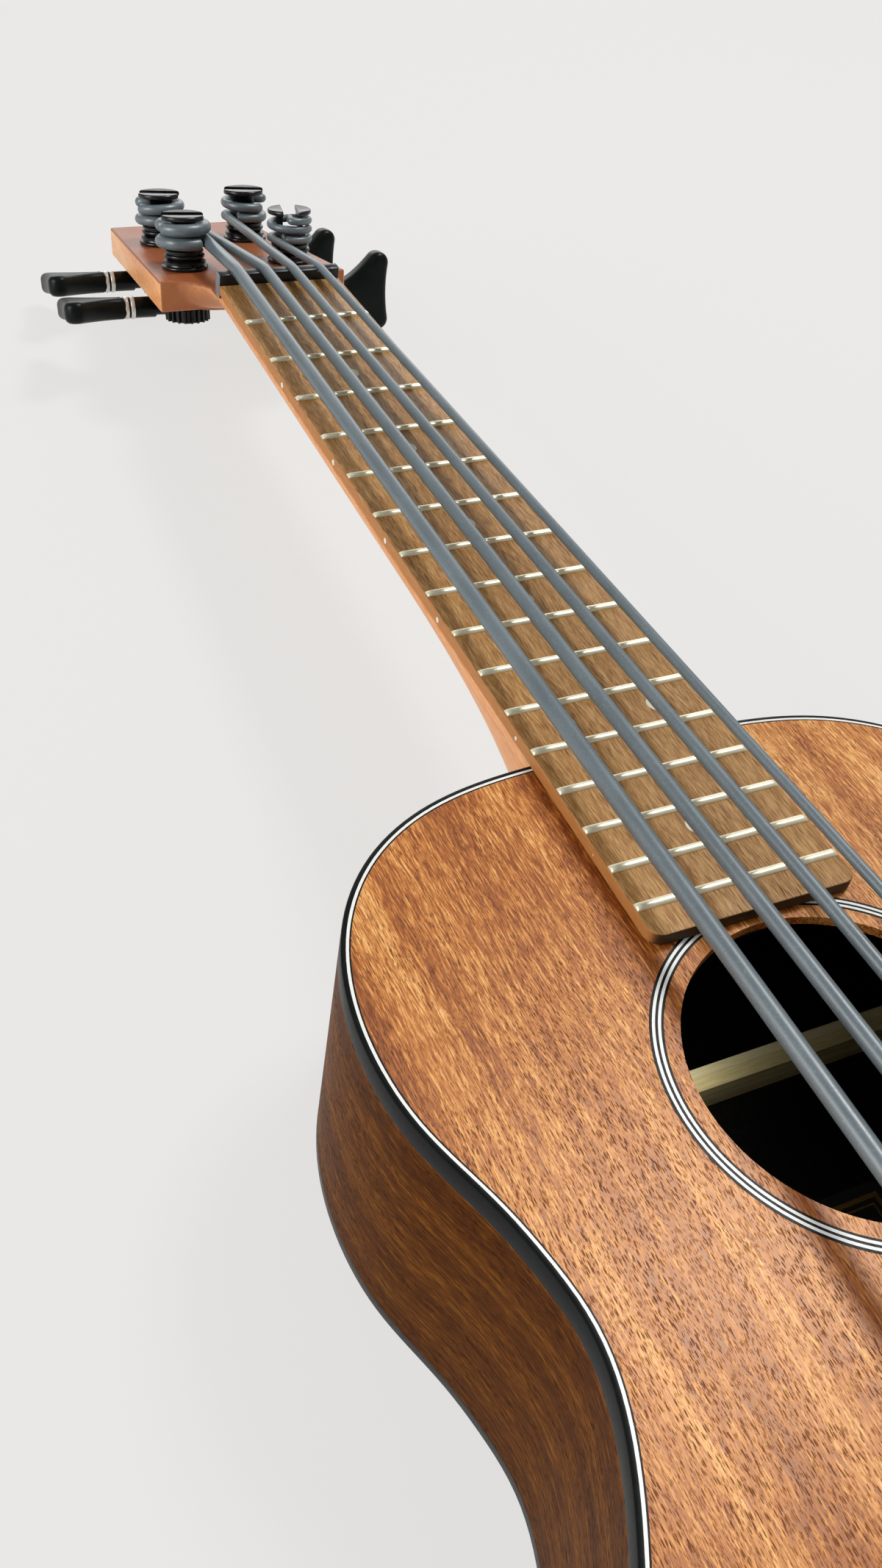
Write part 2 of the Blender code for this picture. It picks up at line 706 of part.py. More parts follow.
def bridge(shop):
    """The bridge: a raised middle with lower wings, slotted for the saddle."""
    half_x, half_y = 0.5 * BRIDGE_WIDTH, 0.5 * BRIDGE_LENGTH
    middle = 0.5 * SADDLE_WIDTH + BRIDGE_SHOULDER
    wing = middle + BRIDGE_RAMP
    stations = [(-half_x, BRIDGE_WING), (-wing, BRIDGE_WING), (-middle, BRIDGE_HEIGHT),
                (middle, BRIDGE_HEIGHT), (wing, BRIDGE_WING), (half_x, BRIDGE_WING)]
    edge = BRIDGE_EDGE
    centre = -SCALE_LENGTH - 0.25 * BRIDGE_LENGTH
    low = TOP_PLANE + SEAT
    rings = []
    for x, height in stations:
        trim = BRIDGE_CORNER if abs(x) == half_x else 0.0
        y = half_y - trim
        rings.append([(x, centre - y, low), (x, centre - y, low + height - edge),
                      (x, centre - y + edge, low + height), (x, centre + y - edge, low + height),
                      (x, centre + y, low + height - edge), (x, centre + y, low)])
    piece = shop.place(loft_mesh(rings), "bridge", "walnut_board", shop.body_frame)
    slot_low = low + BRIDGE_HEIGHT - SADDLE_DEPTH - SEAT
    half = 0.5 * SADDLE_THICKNESS + SEAT
    slot = box_mesh((-0.5 * SADDLE_WIDTH - SEAT, -SCALE_LENGTH - half, slot_low),
                    (0.5 * SADDLE_WIDTH + SEAT, -SCALE_LENGTH + half, low + THROUGH))
    combine(piece, shop.cutter(slot, "saddle_slot", shop.body_frame), "DIFFERENCE")
    combine(piece, bpy.data.objects["string_holes"], "DIFFERENCE")


def saddle(shop):
    """The saddle, with a rounded crown that all four strings bend over."""
    low = TOP_PLANE + SEAT + BRIDGE_HEIGHT - SADDLE_DEPTH
    high = SADDLE_ACTION - SEAT
    half = 0.5 * SADDLE_THICKNESS
    section = [(-half, low), (-half, high - half)]
    for i in range(1, 6):
        angle = math.pi * i / 6.0
        section.append((-half * math.cos(angle), high - half + half * math.sin(angle)))
    section += [(half, high - half), (half, low)]
    reach = 0.5 * SADDLE_WIDTH
    shop.place(bar_mesh(section, -reach, reach), "saddle", "saddle_white", shop.body_frame,
               (0.0, -SCALE_LENGTH, 0.0))


def bridge_plate(shop):
    """The hardwood patch under the bridge that takes the strings' pull."""
    width, length, thickness = BRIDGE_PLATE_SIZE
    high = TOP_PLANE - TOP_THICKNESS - SEAT
    centre = -SCALE_LENGTH - 0.25 * BRIDGE_LENGTH
    mesh = box_mesh((-0.5 * width, centre - 0.5 * length, high - thickness),
                    (0.5 * width, centre + 0.5 * length, high))
    piece = shop.place(mesh, "bridge_plate", "walnut_board", shop.body_frame)
    combine(piece, bpy.data.objects["string_holes"], "DIFFERENCE")


# Neck

def neck_section(distance, half, depth, rounding=NECK_ROUNDING):
    """One cross-section of the neck: flat on top, a rounded curve below."""
    steps = 14
    share = 2.0 / rounding
    ring = []
    for i in range(steps + 1):
        angle = math.pi * i / steps
        x = half * math.copysign(abs(math.cos(angle)) ** share, math.cos(angle))
        z = -depth * math.sin(angle) ** share
        ring.append((x, -distance, NECK_PLANE + z))
    return ring


def shoulder_section(along):
    """A cross-section where the neck spreads into the headstock, this far behind the nut."""
    cove_start = HEAD_SHOULDER - HEAD_SHOULDER_RADIUS
    into = min(max(along - cove_start, 0.0), 0.99 * HEAD_SHOULDER_RADIUS)
    spread = HEAD_SHOULDER_RADIUS - math.sqrt(HEAD_SHOULDER_RADIUS ** 2 - into ** 2)
    half = min(board_half_width(0.0) + spread, 0.5 * HEAD_WIDTH_FRONT - 0.001)
    head_depth = HEAD_DROP + NECK_PLANE + along * math.tan(HEAD_TILT) + HEAD_THICKNESS
    squareness = NECK_ROUNDING + SHOULDER_SQUARENESS * (into / HEAD_SHOULDER_RADIUS) ** 2
    return neck_section(-NUT_THICKNESS - along, half, max(NECK_DEPTH_NUT, head_depth), squareness)


def neck_shaft_mesh():
    """The neck from inside the headstock to the bottom of the heel."""
    rings = [shoulder_section(HEAD_SHOULDER + 0.002)]
    for part in (0.93, 0.84, 0.72, 0.55, 0.3):
        rings.append(shoulder_section(part * HEAD_SHOULDER))
    rings.append(neck_section(0.0, board_half_width(0.0), NECK_DEPTH_NUT))
    straight = HEEL_LENGTH - HEEL_START
    for part in (0.25, 0.5, 0.75, 1.0):
        distance = part * straight
        depth = NECK_DEPTH_NUT + part * (NECK_DEPTH_HEEL - NECK_DEPTH_NUT)
        rings.append(neck_section(distance, board_half_width(distance), depth))
    for part in (0.16, 0.32, 0.48, 0.62, 0.74, 0.84, 0.92, 1.0):
        distance = straight + part * HEEL_START
        curve = 1.0 - math.sqrt(1.0 - min(0.999, part) ** 2)
        depth = NECK_DEPTH_HEEL + curve * (HEEL_DROP - NECK_DEPTH_HEEL) / 0.955
        width = board_half_width(distance) * (1.0 - (1.0 - HEEL_WIDTH_SHARE) * curve)
        rings.append(neck_section(distance, width, min(depth, HEEL_DROP)))
    return loft_mesh(rings)


def headstock_outline():
    """Outline of the headstock behind its shoulders, in its own plane: tapering sides."""
    side = [(0.5 * HEAD_WIDTH_FRONT, HEAD_SHOULDER), (0.5 * HEAD_WIDTH_TIP, HEAD_LENGTH)]
    return side + [(-x, y) for x, y in reversed(side)]


def face_cut_mesh():
    """What is cut away above the headstock's face, with the nut's seat in front of it."""
    seat = NECK_PLANE - NUT_DEPTH - SEAT
    far = NUT_THICKNESS + HEAD_LENGTH + 0.02
    fall = (far - NUT_THICKNESS) * math.tan(HEAD_TILT)
    section = [(-SEAT, seat), (NUT_THICKNESS, seat), (NUT_THICKNESS, -HEAD_DROP),
               (far, -HEAD_DROP - fall), (far, 0.02), (-SEAT, 0.02)]
    return bar_mesh(section, -HEAD_WIDTH_FRONT, HEAD_WIDTH_FRONT)


def neck(shop):
    """Neck, heel and headstock, carved from one blank."""
    piece = shop.place(neck_shaft_mesh(), "neck", "neck_wood", shop.body_frame)
    head = flat_mesh(headstock_outline(), -HEAD_THICKNESS, 0.001)
    combine(piece, shop.cutter(head, "headstock_blank", shop.head_frame), "UNION")
    combine(piece, shop.cutter(face_cut_mesh(), "headstock_face", shop.body_frame), "DIFFERENCE")
    rods = []
    for x, y in post_places():
        rods.append(((x, y, -THROUGH), (x, y, THROUGH), POST_SHAFT_RADIUS + RUNNING))
    combine(piece, shop.cutter(rods_mesh(rods), "post_bores", shop.head_frame), "DIFFERENCE")
    rods = []
    for x, y in post_places():
        rods.append(((x, y, -BUSHING_BARREL_DEPTH - SEAT), (x, y, THROUGH),
                     BUSHING_BARREL_RADIUS + SEAT))
    combine(piece, shop.cutter(rods_mesh(rods), "bushing_bores", shop.head_frame), "DIFFERENCE")


def fingerboard(shop):
    """The tapered fingerboard with rounded lower corners and a slot for each fret."""
    start, end = board_half_width(0.0), board_half_width(BOARD_LENGTH)
    corner = FINGERBOARD_CORNER
    side = [(start, 0.0)]
    for i in range(5):
        angle = 0.5 * math.pi * i / 4.0
        side.append((end - corner + corner * math.cos(angle),
                     -BOARD_LENGTH + corner - corner * math.sin(angle)))
    outline = side + [(-x, y) for x, y in reversed(side)]
    mesh = flat_mesh(outline, TOP_PLANE + SEAT, 0.0)
    piece = shop.place(mesh, "fingerboard", "walnut_board", shop.body_frame)
    slots = []
    half = 0.5 * FRET_TANG_WIDTH + SEAT
    for number in range(1, FRET_COUNT + 1):
        y = -fret_distance(number)
        slots.append(((-END_WIDTH, y - half, -FRET_TANG_DEPTH - SEAT),
                      (END_WIDTH, y + half, THROUGH)))
    combine(piece, shop.cutter(boxes_mesh(slots), "fret_slots", shop.body_frame), "DIFFERENCE")


def fret(shop, number):
    """One fret: a low domed crown over a tang that stands in its slot."""
    low = SEAT
    half = 0.5 * FRET_CROWN_WIDTH
    tang = 0.5 * FRET_TANG_WIDTH
    section = [(-tang, -FRET_TANG_DEPTH), (-tang, low), (-half, low)]
    for i in range(1, 4):
        angle = math.pi * i / 4.0
        section.append((-half * math.cos(angle), low + FRET_CROWN_HEIGHT * math.sin(angle)))
    section += [(half, low), (tang, low), (tang, -FRET_TANG_DEPTH)]
    distance = fret_distance(number)
    reach = board_half_width(distance) - FRET_INSET
    shop.place(bar_mesh(section, -reach, reach), f"fret_{number:02d}", "fret_metal",
               shop.body_frame, (0.0, -distance, 0.0))


def nut_x(index):
    """Sideways place of a string at the nut."""
    return string_side(index) * NUT_STRING_SPACING


def nut(shop):
    """The nut, let into the neck, with a round slot for each string."""
    half = board_half_width(0.0)
    low = NECK_PLANE - NUT_DEPTH
    front, rear = SEAT, NUT_THICKNESS
    edge = NUT_ROUNDING
    section = [(front, low), (front, NUT_RISE - 0.3 * edge), (front + 0.5 * edge, NUT_RISE),
               (rear - edge, NUT_RISE), (rear, NUT_RISE - edge), (rear, low)]
    piece = shop.place(bar_mesh(section, -half, half), "nut", "black_nut", shop.body_frame)
    for index in range(len(STRING_RADII)):
        tool = shop.cutter(nut_slot_mesh(index), f"nut_slot_{index + 1}", shop.body_frame)
        combine(piece, tool, "DIFFERENCE")


def nut_slot_mesh(index):
    """A round-bottomed channel that follows one string over the nut, open at the top."""
    bend, ahead = string_over_nut(index)
    radius = STRING_RADII[index] + SEAT
    rings = []
    for centre in (bend - Vector((0.0, 0.006, 0.0)), bend, bend + ahead * 0.006):
        ring = [(centre.x + radius, centre.y, 0.02), (centre.x - radius, centre.y, 0.02)]
        for i in range(7):
            angle = math.pi * i / 6.0
            ring.append((centre.x - radius * math.cos(angle), centre.y,
                         centre.z - radius * math.sin(angle)))
        rings.append(ring)
    return loft_mesh(rings)


# Tuning machines, in the headstock frame

def post_places():
    """Post centres in string order: bass front, bass rear, treble rear, treble front."""
    front, rear = POST_FRONT, POST_REAR
    return [(-front[0], front[1]), (-rear[0], rear[1]), (rear[0], rear[1]), (front[0], front[1])]


def tuner_frame(shop, index):
    """The frame of one machine, on its post's axis and turned to suit the headstock's side."""
    name = f"tuner_frame_{index + 1}"
    if name not in bpy.data.objects:
        x, y = post_places()[index]
        frame = shop.empty(name, shop.head_frame)
        frame.location = (x, y, 0.0)
        frame.rotation_euler = (0.0, 0.0, math.copysign(TUNER_TURNS[index], x))
    return bpy.data.objects[name]


PLATE_TOP = -HEAD_THICKNESS - SEAT
PLATE_BOTTOM = PLATE_TOP - PLATE_THICKNESS
WORM_LEVEL = -HEAD_THICKNESS - WORM_DROP
WORM_DISTANCE = GEAR_TIP_RADIUS + WORM_RADIUS - WORM_ENGAGEMENT
GEAR_PITCH_RADIUS = WORM_DISTANCE - 0.5 * (WORM_RADIUS + WORM_CORE_RADIUS)
WORM_PITCH = 2.0 * math.pi * GEAR_PITCH_RADIUS / GEAR_TEETH
COLLAR_TOP = BUSHING_HEIGHT + RUNNING + POST_COLLAR_HEIGHT
FLANGE_BOTTOM = POST_HEIGHT - POST_FLANGE_THICKNESS
LUG_CENTRE = WORM_HALF_LENGTH + RUNNING + 0.5 * LUG_THICKNESS


def bushing(shop, index):
    """The collar that guides a post through the headstock."""
    frame = tuner_frame(shop, index)
    inner = POST_SHAFT_RADIUS + RUNNING
    barrel, rim, step = BUSHING_BARREL_RADIUS, BUSHING_RADIUS, BUSHING_STEP
    profile = [(inner, BUSHING_HEIGHT), (rim - 3.0 * step, BUSHING_HEIGHT),
               (rim - 2.0 * step, 0.7 * BUSHING_HEIGHT),
               (rim - step, SEAT + BUSHING_RIM + 0.5 * step), (rim, SEAT + BUSHING_RIM),
               (rim, SEAT), (barrel, SEAT), (barrel, -BUSHING_BARREL_DEPTH),
               (inner, -BUSHING_BARREL_DEPTH)]
    turned_piece(shop, f"tuner_bushing_{index + 1}", "black_metal", frame, profile, closed=True)


def gear_mesh():
    """The post's gear: straight teeth cut for the worm."""
    middle = WORM_LEVEL
    low, high = middle - 0.5 * GEAR_THICKNESS, middle + 0.5 * GEAR_THICKNESS
    step = 2.0 * math.pi / GEAR_TEETH
    ring = []
    for tooth in range(GEAR_TEETH):
        centre = 0.5 * math.pi + tooth * step
        for radius, offset in ((GEAR_ROOT_RADIUS, -GEAR_ROOT_SHARE),
                               (GEAR_TIP_RADIUS, -GEAR_TIP_SHARE),
                               (GEAR_TIP_RADIUS, GEAR_TIP_SHARE),
                               (GEAR_ROOT_RADIUS, GEAR_ROOT_SHARE)):
            angle = centre + offset * step
            ring.append((radius * math.cos(angle), radius * math.sin(angle)))
    return flat_mesh(ring, low, high)


def post(shop, index):
    """A string post with its gear; its origin lies on the axis it turns about."""
    frame = tuner_frame(shop, index)
    gear_bottom = WORM_LEVEL - 0.5 * GEAR_THICKNESS
    gear_top = WORM_LEVEL + 0.5 * GEAR_THICKNESS
    collar = BUSHING_HEIGHT + RUNNING
    rim, step, tail = POST_COLLAR_RADIUS, POST_COLLAR_STEP, gear_bottom - POST_TAIL_LENGTH
    profile = [(0.0, POST_HEIGHT), (POST_FLANGE_RADIUS - POST_EDGE, POST_HEIGHT),
               (POST_FLANGE_RADIUS, POST_HEIGHT - POST_EDGE),
               (POST_FLANGE_RADIUS, FLANGE_BOTTOM + POST_EDGE),
               (POST_FLANGE_RADIUS - POST_EDGE, FLANGE_BOTTOM),
               (POST_WAIST_RADIUS, FLANGE_BOTTOM), (POST_WAIST_RADIUS, COLLAR_TOP),
               (rim - step, COLLAR_TOP), (rim - step, collar + 0.6 * POST_COLLAR_HEIGHT),
               (rim, collar + 0.35 * POST_COLLAR_HEIGHT), (rim, collar),
               (POST_SHAFT_RADIUS, collar), (POST_SHAFT_RADIUS, gear_top - POST_EDGE),
               (POST_TAIL_RADIUS, 0.5 * (gear_bottom + gear_top)),
               (POST_TAIL_RADIUS, tail + POST_EDGE), (POST_TAIL_RADIUS - POST_EDGE, tail),
               (0.0, tail)]
    piece = turned_piece(shop, f"tuner_post_{index + 1}", "black_metal", frame, profile)
    gear = shop.cutter(gear_mesh(), f"gear_{index + 1}", frame)
    combine(piece, gear, "UNION")
    half = max(STRING_RADII) + 2.0 * SEAT
    slot = box_mesh((-THROUGH, -half, POST_HEIGHT - SLOT_DEPTH),
                    (THROUGH, half, POST_HEIGHT + THROUGH))
    cutter = shop.cutter(slot, f"post_slot_{index + 1}", shop.head_frame,
                         (*post_places()[index], 0.0))
    cutter.rotation_euler = (0.0, 0.0, SLOT_ANGLES[index])
    combine(piece, cutter, "DIFFERENCE")


def tuner_plate(shop, index):
    """The plate behind the headstock, with the two lugs that carry the worm shaft."""
    frame = tuner_frame(shop, index)
    half = PLATE_HALF_WIDTH
    far = WORM_DISTANCE + LUG_RADIUS
    near = -PLATE_BELOW_POST
    cut = PLATE_CHAMFER
    outline = [(-half, near + cut), (-half + cut, near), (half - cut, near), (half, near + cut),
               (half, far - cut), (half - cut, far), (-half + cut, far), (-half, far - cut)]
    piece = shop.place(flat_mesh(outline, PLATE_BOTTOM, PLATE_TOP), f"tuner_plate_{index + 1}",
                       "black_metal", frame)
    for number, side in enumerate((-1.0, 1.0)):
        start = side * LUG_CENTRE - 0.5 * LUG_THICKNESS
        section = []
        for i in range(9):
            angle = math.pi * i / 8.0
            section.append((WORM_DISTANCE + LUG_RADIUS * math.cos(angle),
                            WORM_LEVEL - LUG_RADIUS * math.sin(angle)))
        section += [(WORM_DISTANCE - LUG_RADIUS, PLATE_BOTTOM + 0.5 * PLATE_THICKNESS),
                    (WORM_DISTANCE + LUG_RADIUS, PLATE_BOTTOM + 0.5 * PLATE_THICKNESS)]
        lug = bar_mesh(section, start, start + LUG_THICKNESS)
        tool = shop.cutter(lug, f"lug_{index + 1}_{number}", frame)
        combine(piece, tool, "UNION")
    rods = [((-THROUGH, WORM_DISTANCE, WORM_LEVEL), (THROUGH, WORM_DISTANCE, WORM_LEVEL),
             KEY_SHAFT_RADIUS + RUNNING)]
    tool = shop.cutter(rods_mesh(rods), f"worm_bore_{index + 1}", frame)
    combine(piece, tool, "DIFFERENCE")
    rods = [((0.0, 0.0, -THROUGH), (0.0, 0.0, 0.0), POST_SHAFT_RADIUS + RUNNING)]
    tool = shop.cutter(rods_mesh(rods), f"plate_bore_{index + 1}", frame)
    combine(piece, tool, "DIFFERENCE")


def thread_share(phase):
    """How far the worm's thread stands up at a phase of its pitch, from 0 to 1."""
    from_crest = abs((phase + 0.5) % 1.0 - 0.5)
    return max(0.0, min(1.0, (0.25 - from_crest) / 0.10))


def worm_shaft_mesh():
    """Shaft, worm thread and barrel of a key along +X, with the worm at the origin."""
    steps = WORM_STEPS
    lug = LUG_CENTRE + 0.5 * LUG_THICKNESS
    clear = PLATE_HALF_WIDTH + RUNNING
    stations = [(-lug - WORM_SHAFT_END, KEY_SHAFT_RADIUS, 0.0),
                (-WORM_HALF_LENGTH, KEY_SHAFT_RADIUS, 0.0)]
    count = round(2.0 * WORM_HALF_LENGTH / WORM_PITCH * 5.0)
    for i in range(1, count):
        x = WORM_HALF_LENGTH * (2.0 * i / count - 1.0)
        stations.append((x, WORM_CORE_RADIUS, WORM_RADIUS - WORM_CORE_RADIUS))
    stations += [(WORM_HALF_LENGTH, KEY_SHAFT_RADIUS, 0.0),
                 (lug + RUNNING, KEY_SHAFT_RADIUS, 0.0), (lug + RUNNING, KEY_NECK_RADIUS, 0.0),
                 (clear, KEY_NECK_RADIUS, 0.0), (clear, KEY_BARREL_RADIUS - KEY_BARREL_EDGE, 0.0),
                 (clear + KEY_BARREL_EDGE, KEY_BARREL_RADIUS, 0.0),
                 (KEY_HUB_START + 0.0015, KEY_BARREL_RADIUS, 0.0)]
    rings = []
    for x, radius, thread in stations:
        ring = []
        for j in range(steps):
            angle = 2.0 * math.pi * j / steps
            reach = radius + thread * thread_share(x / WORM_PITCH - j / steps)
            ring.append((x, reach * math.cos(angle), reach * math.sin(angle)))
        rings.append(ring)
    return loft_mesh(rings)


def button_outline():
    """Half of the key's button: a hollow flank, a round lobe and a slightly hollow outer edge."""
    lobe = Vector((KEY_REACH - KEY_LOBE_RADIUS, KEY_HALF_WIDTH - KEY_LOBE_RADIUS))
    start_angle = math.radians(90.0) + KEY_FLANK_ANGLE
    end_angle = -math.asin(KEY_HOLLOW / KEY_LOBE_RADIUS)
    start = Vector((KEY_HUB_START, KEY_BARREL_RADIUS + KEY_STEP))
    end = lobe + KEY_LOBE_RADIUS * Vector((math.cos(start_angle), math.sin(start_angle)))
    bend = Vector((end.x - (end.y - start.y) / math.tan(KEY_FLANK_ANGLE), start.y))
    points = []
    for i in range(KEY_FLANK_STEPS):
        t = i / KEY_FLANK_STEPS
        points.append((1.0 - t) ** 2 * start + 2.0 * t * (1.0 - t) * bend + t ** 2 * end)
    for i in range(KEY_LOBE_STEPS + 1):
        angle = start_angle + (end_angle - start_angle) * i / KEY_LOBE_STEPS
        points.append(lobe + KEY_LOBE_RADIUS * Vector((math.cos(angle), math.sin(angle))))
    points.append(Vector((KEY_REACH - KEY_HOLLOW, 0.0)))
    return points


def key(shop, index):
    """A tuning key with its worm; its origin lies on the axis it turns about."""
    frame = tuner_frame(shop, index)
    bass_side = post_places()[index][0] < 0.0
    turn = KEY_TURN_BASS if bass_side else KEY_TURN_TREBLE
    mesh = worm_shaft_mesh()
    half = button_outline()
    outline = half + [(a, -b) for a, b in reversed(half[:-1])]
    button = flat_mesh(outline, -0.5 * KEY_THICKNESS, 0.5 * KEY_THICKNESS, KEY_EDGE, 0)
    button.transform(Matrix.Rotation(turn, 4, "X"))
    if bass_side:
        outward = Matrix.Rotation(math.pi, 4, "Y")
        mesh.transform(outward)
        button.transform(outward)
    place = (0.0, WORM_DISTANCE, WORM_LEVEL)
    piece = shop.place(mesh, f"tuner_key_{index + 1}", "black_metal", frame, place)
    tool = shop.cutter(button, f"button_{index + 1}", frame, place)
    combine(piece, tool, "UNION")


# Strings

def head_matrix():
    """From headstock coordinates to instrument coordinates."""
    return (Matrix.Translation((0.0, NUT_THICKNESS, -HEAD_DROP))
            @ Matrix.Rotation(-HEAD_TILT, 4, "X"))


def winding_radius(index):
    """Radius of the circle that a string's middle follows round its post."""
    return POST_WAIST_RADIUS + STRING_RADII[index] + WINDING_SLACK


def winding_level(index):
    """Height of the first turn's middle above the headstock face."""
    return COLLAR_TOP + STRING_RADII[index] + 0.5 * RUNNING


def wrap_direction(index):
    """1 where the string wraps anticlockwise seen from above, -1 where clockwise."""
    return 1.0 if post_places()[index][0] < 0.0 else -1.0


def tangent_point(index):
    """Angle on the post's circle, and the point, where the string first touches it."""
    x, y = post_places()[index]
    start = head_matrix().inverted() @ Vector((nut_x(index), NUT_THICKNESS, NUT_ACTION))
    away = Vector((start.x - x, start.y - y))
    radius = winding_radius(index)
    spread = math.acos(radius / away.length)
    angle = math.atan2(away.y, away.x) + wrap_direction(index) * spread
    point = Vector((x + radius * math.cos(angle), y + radius * math.sin(angle),
                    winding_level(index)))
    return angle, point


def string_over_nut(index):
    """Where a string bends in the nut, and its direction from there to its post."""
    bend = Vector((nut_x(index), 0.55 * NUT_THICKNESS, NUT_ACTION + STRING_RADII[index]))
    touch = head_matrix() @ tangent_point(index)[1]
    return bend, (touch - bend).normalized()


def string(shop, index):
    """A string from the bridge over saddle and nut to its first turn round the post."""
    radius = STRING_RADII[index]
    x = saddle_x(index)
    hole_y = -SCALE_LENGTH - STRING_HOLE_SETBACK
    bridge_top = TOP_PLANE + SEAT + BRIDGE_HEIGHT
    points = [Vector((x, hole_y, TOP_PLANE - TOP_THICKNESS - BRIDGE_PLATE_SIZE[2] - STRING_TAIL))]
    bend_radius = radius + STRING_BEND
    for i in range(4):
        turn = math.radians(20.0 * i)
        points.append(Vector((x, hole_y + bend_radius * (1.0 - math.cos(turn)),
                              bridge_top + SEAT + bend_radius * math.sin(turn))))
    crown = 0.5 * SADDLE_THICKNESS
    over = crown + SEAT + radius
    for i in range(3):
        turn = SADDLE_BREAK * (1.0 - 0.5 * i)
        points.append(Vector((x, -SCALE_LENGTH - over * math.sin(turn),
                              SADDLE_ACTION - SEAT - crown + over * math.cos(turn))))
    bend, ahead = string_over_nut(index)
    points.append(bend - Vector((0.0, 0.001, 0.0)))
    points.append(bend + ahead * 0.001)
    angle, touch = tangent_point(index)
    place = head_matrix()
    post_x, post_y = post_places()[index]
    steps = 12
    for i in range(steps + 1):
        turn = angle + wrap_direction(index) * FIRST_TURN * i / steps
        points.append(place @ Vector((post_x + winding_radius(index) * math.cos(turn),
                                      post_y + winding_radius(index) * math.sin(turn),
                                      touch.z)))
    shop.place(tube_mesh(points, radius), f"string_{index + 1}", "rubber_string", shop.body_frame)


def winding(shop, index):
    """The turns that go round with the post and end in its slot."""
    radius = STRING_RADII[index]
    x, y = post_places()[index]
    circle = winding_radius(index)
    start_level = winding_level(index) + 2.0 * radius + RUNNING
    end_level = FLANGE_BOTTOM - radius - 0.5 * RUNNING
    direction = wrap_direction(index)
    room = (end_level - start_level) / (2.0 * radius + RUNNING)
    sweep = max(WOUND_TURN, 2.0 * math.pi * room)
    start = SLOT_ANGLES[index] - direction * sweep
    steps = int(math.degrees(sweep) / 23.0)
    points = []
    for i in range(steps + 1):
        turn = start + direction * sweep * i / steps
        level = start_level + (end_level - start_level) * i / steps
        points.append((circle * math.cos(turn), circle * math.sin(turn), level))
    turn = SLOT_ANGLES[index]
    points.append((0.001 * math.cos(turn), 0.001 * math.sin(turn), end_level))
    shop.place(tube_mesh(points, radius), f"string_winding_{index + 1}", "rubber_string",
               shop.head_frame, (x, y, 0.0))


def tuning_machines(shop):
    """The four machines, each with plate, bushing, post, key and wound string end."""
    for index in range(len(STRING_RADII)):
        tuner_plate(shop, index)
        bushing(shop, index)
        post(shop, index)
        key(shop, index)
        winding(shop, index)


def main():
    """Build the whole instrument."""
    clear_scene()
    shop = Workshop()
    body(shop)
    bridge(shop)
    saddle(shop)
    bridge_plate(shop)
    neck(shop)
    fingerboard(shop)
    for number in range(1, FRET_COUNT + 1):
        fret(shop, number)
    nut(shop)
    tuning_machines(shop)
    for index in range(len(STRING_RADII)):
        string(shop, index)
    bpy.context.view_layer.update()


main()
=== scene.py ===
"""Bass ukulele: the dressed model on its pale floor.

Each sub-assembly is a class that builds its own meshes and gives them their finish. Shapes are
worked out in the instrument's own frame, whose origin is the nut's front edge on top of the
fingerboard, with +X to the treble side, +Y to the headstock and +Z out of the fingerboard, and
are then laid down as the solid model lies. Lengths are in metres.
"""
import logging
from dataclasses import dataclass, field
from enum import Enum
from math import acos, asin, atan, atan2, copysign, cos, degrees, pi, radians, sin, sqrt, tan
from typing import Callable, Iterable, Optional, Sequence, Union

import bmesh
import bpy
import numpy as np
from mathutils import Matrix, Vector


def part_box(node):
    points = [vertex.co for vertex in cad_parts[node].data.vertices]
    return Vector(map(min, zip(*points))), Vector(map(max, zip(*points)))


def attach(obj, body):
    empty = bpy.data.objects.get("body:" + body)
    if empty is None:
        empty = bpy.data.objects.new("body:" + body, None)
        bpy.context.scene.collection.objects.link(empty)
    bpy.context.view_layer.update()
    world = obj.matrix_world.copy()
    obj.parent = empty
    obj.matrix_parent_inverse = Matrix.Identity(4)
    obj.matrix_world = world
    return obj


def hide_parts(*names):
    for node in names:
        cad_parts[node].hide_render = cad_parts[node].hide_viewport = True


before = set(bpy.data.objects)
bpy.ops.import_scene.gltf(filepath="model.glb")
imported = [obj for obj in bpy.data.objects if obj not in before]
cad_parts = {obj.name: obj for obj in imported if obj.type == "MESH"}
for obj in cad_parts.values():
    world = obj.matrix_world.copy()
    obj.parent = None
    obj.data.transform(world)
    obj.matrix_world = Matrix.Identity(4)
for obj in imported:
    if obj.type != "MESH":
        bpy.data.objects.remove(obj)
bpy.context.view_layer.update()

BENT_PLACE = "bent_place"
FULL_TURN = 2.0 * pi
SHARP_ANGLE = 38.0
WELD_REACH = 0.00001

Colour = tuple[float, float, float, float]
Mesh = bpy.types.Mesh
Socket = bpy.types.NodeSocket
Height = Union[float, Callable[[float], float]]
Point = Sequence[float]


class Grain(Enum):
    """Which way a piece of wood's fibres run."""

    ALONG = "along the strings"
    ACROSS = "across the strings"
    BENT = "round the bent side"


class Side(Enum):
    """A side of the instrument, with the sign of its X."""

    BASS = -1.0
    TREBLE = 1.0


def tone(code: str) -> Colour:
    """Turn a colour as seen on a screen into the linear values that shaders use.

    Args:
        code: Red, green and blue as three pairs of hexadecimal digits.

    Returns:
        The linear colour with full opacity.
    """
    shares = [part / 255.0 for part in bytes.fromhex(code)]
    return (*(share / 12.92 if share <= 0.04045 else ((share + 0.055) / 1.055) ** 2.4
              for share in shares), 1.0)


def tones(codes: str) -> list[Colour]:
    """Turn several colours, with spaces between them, into linear ones."""
    return [tone(code) for code in codes.split()]


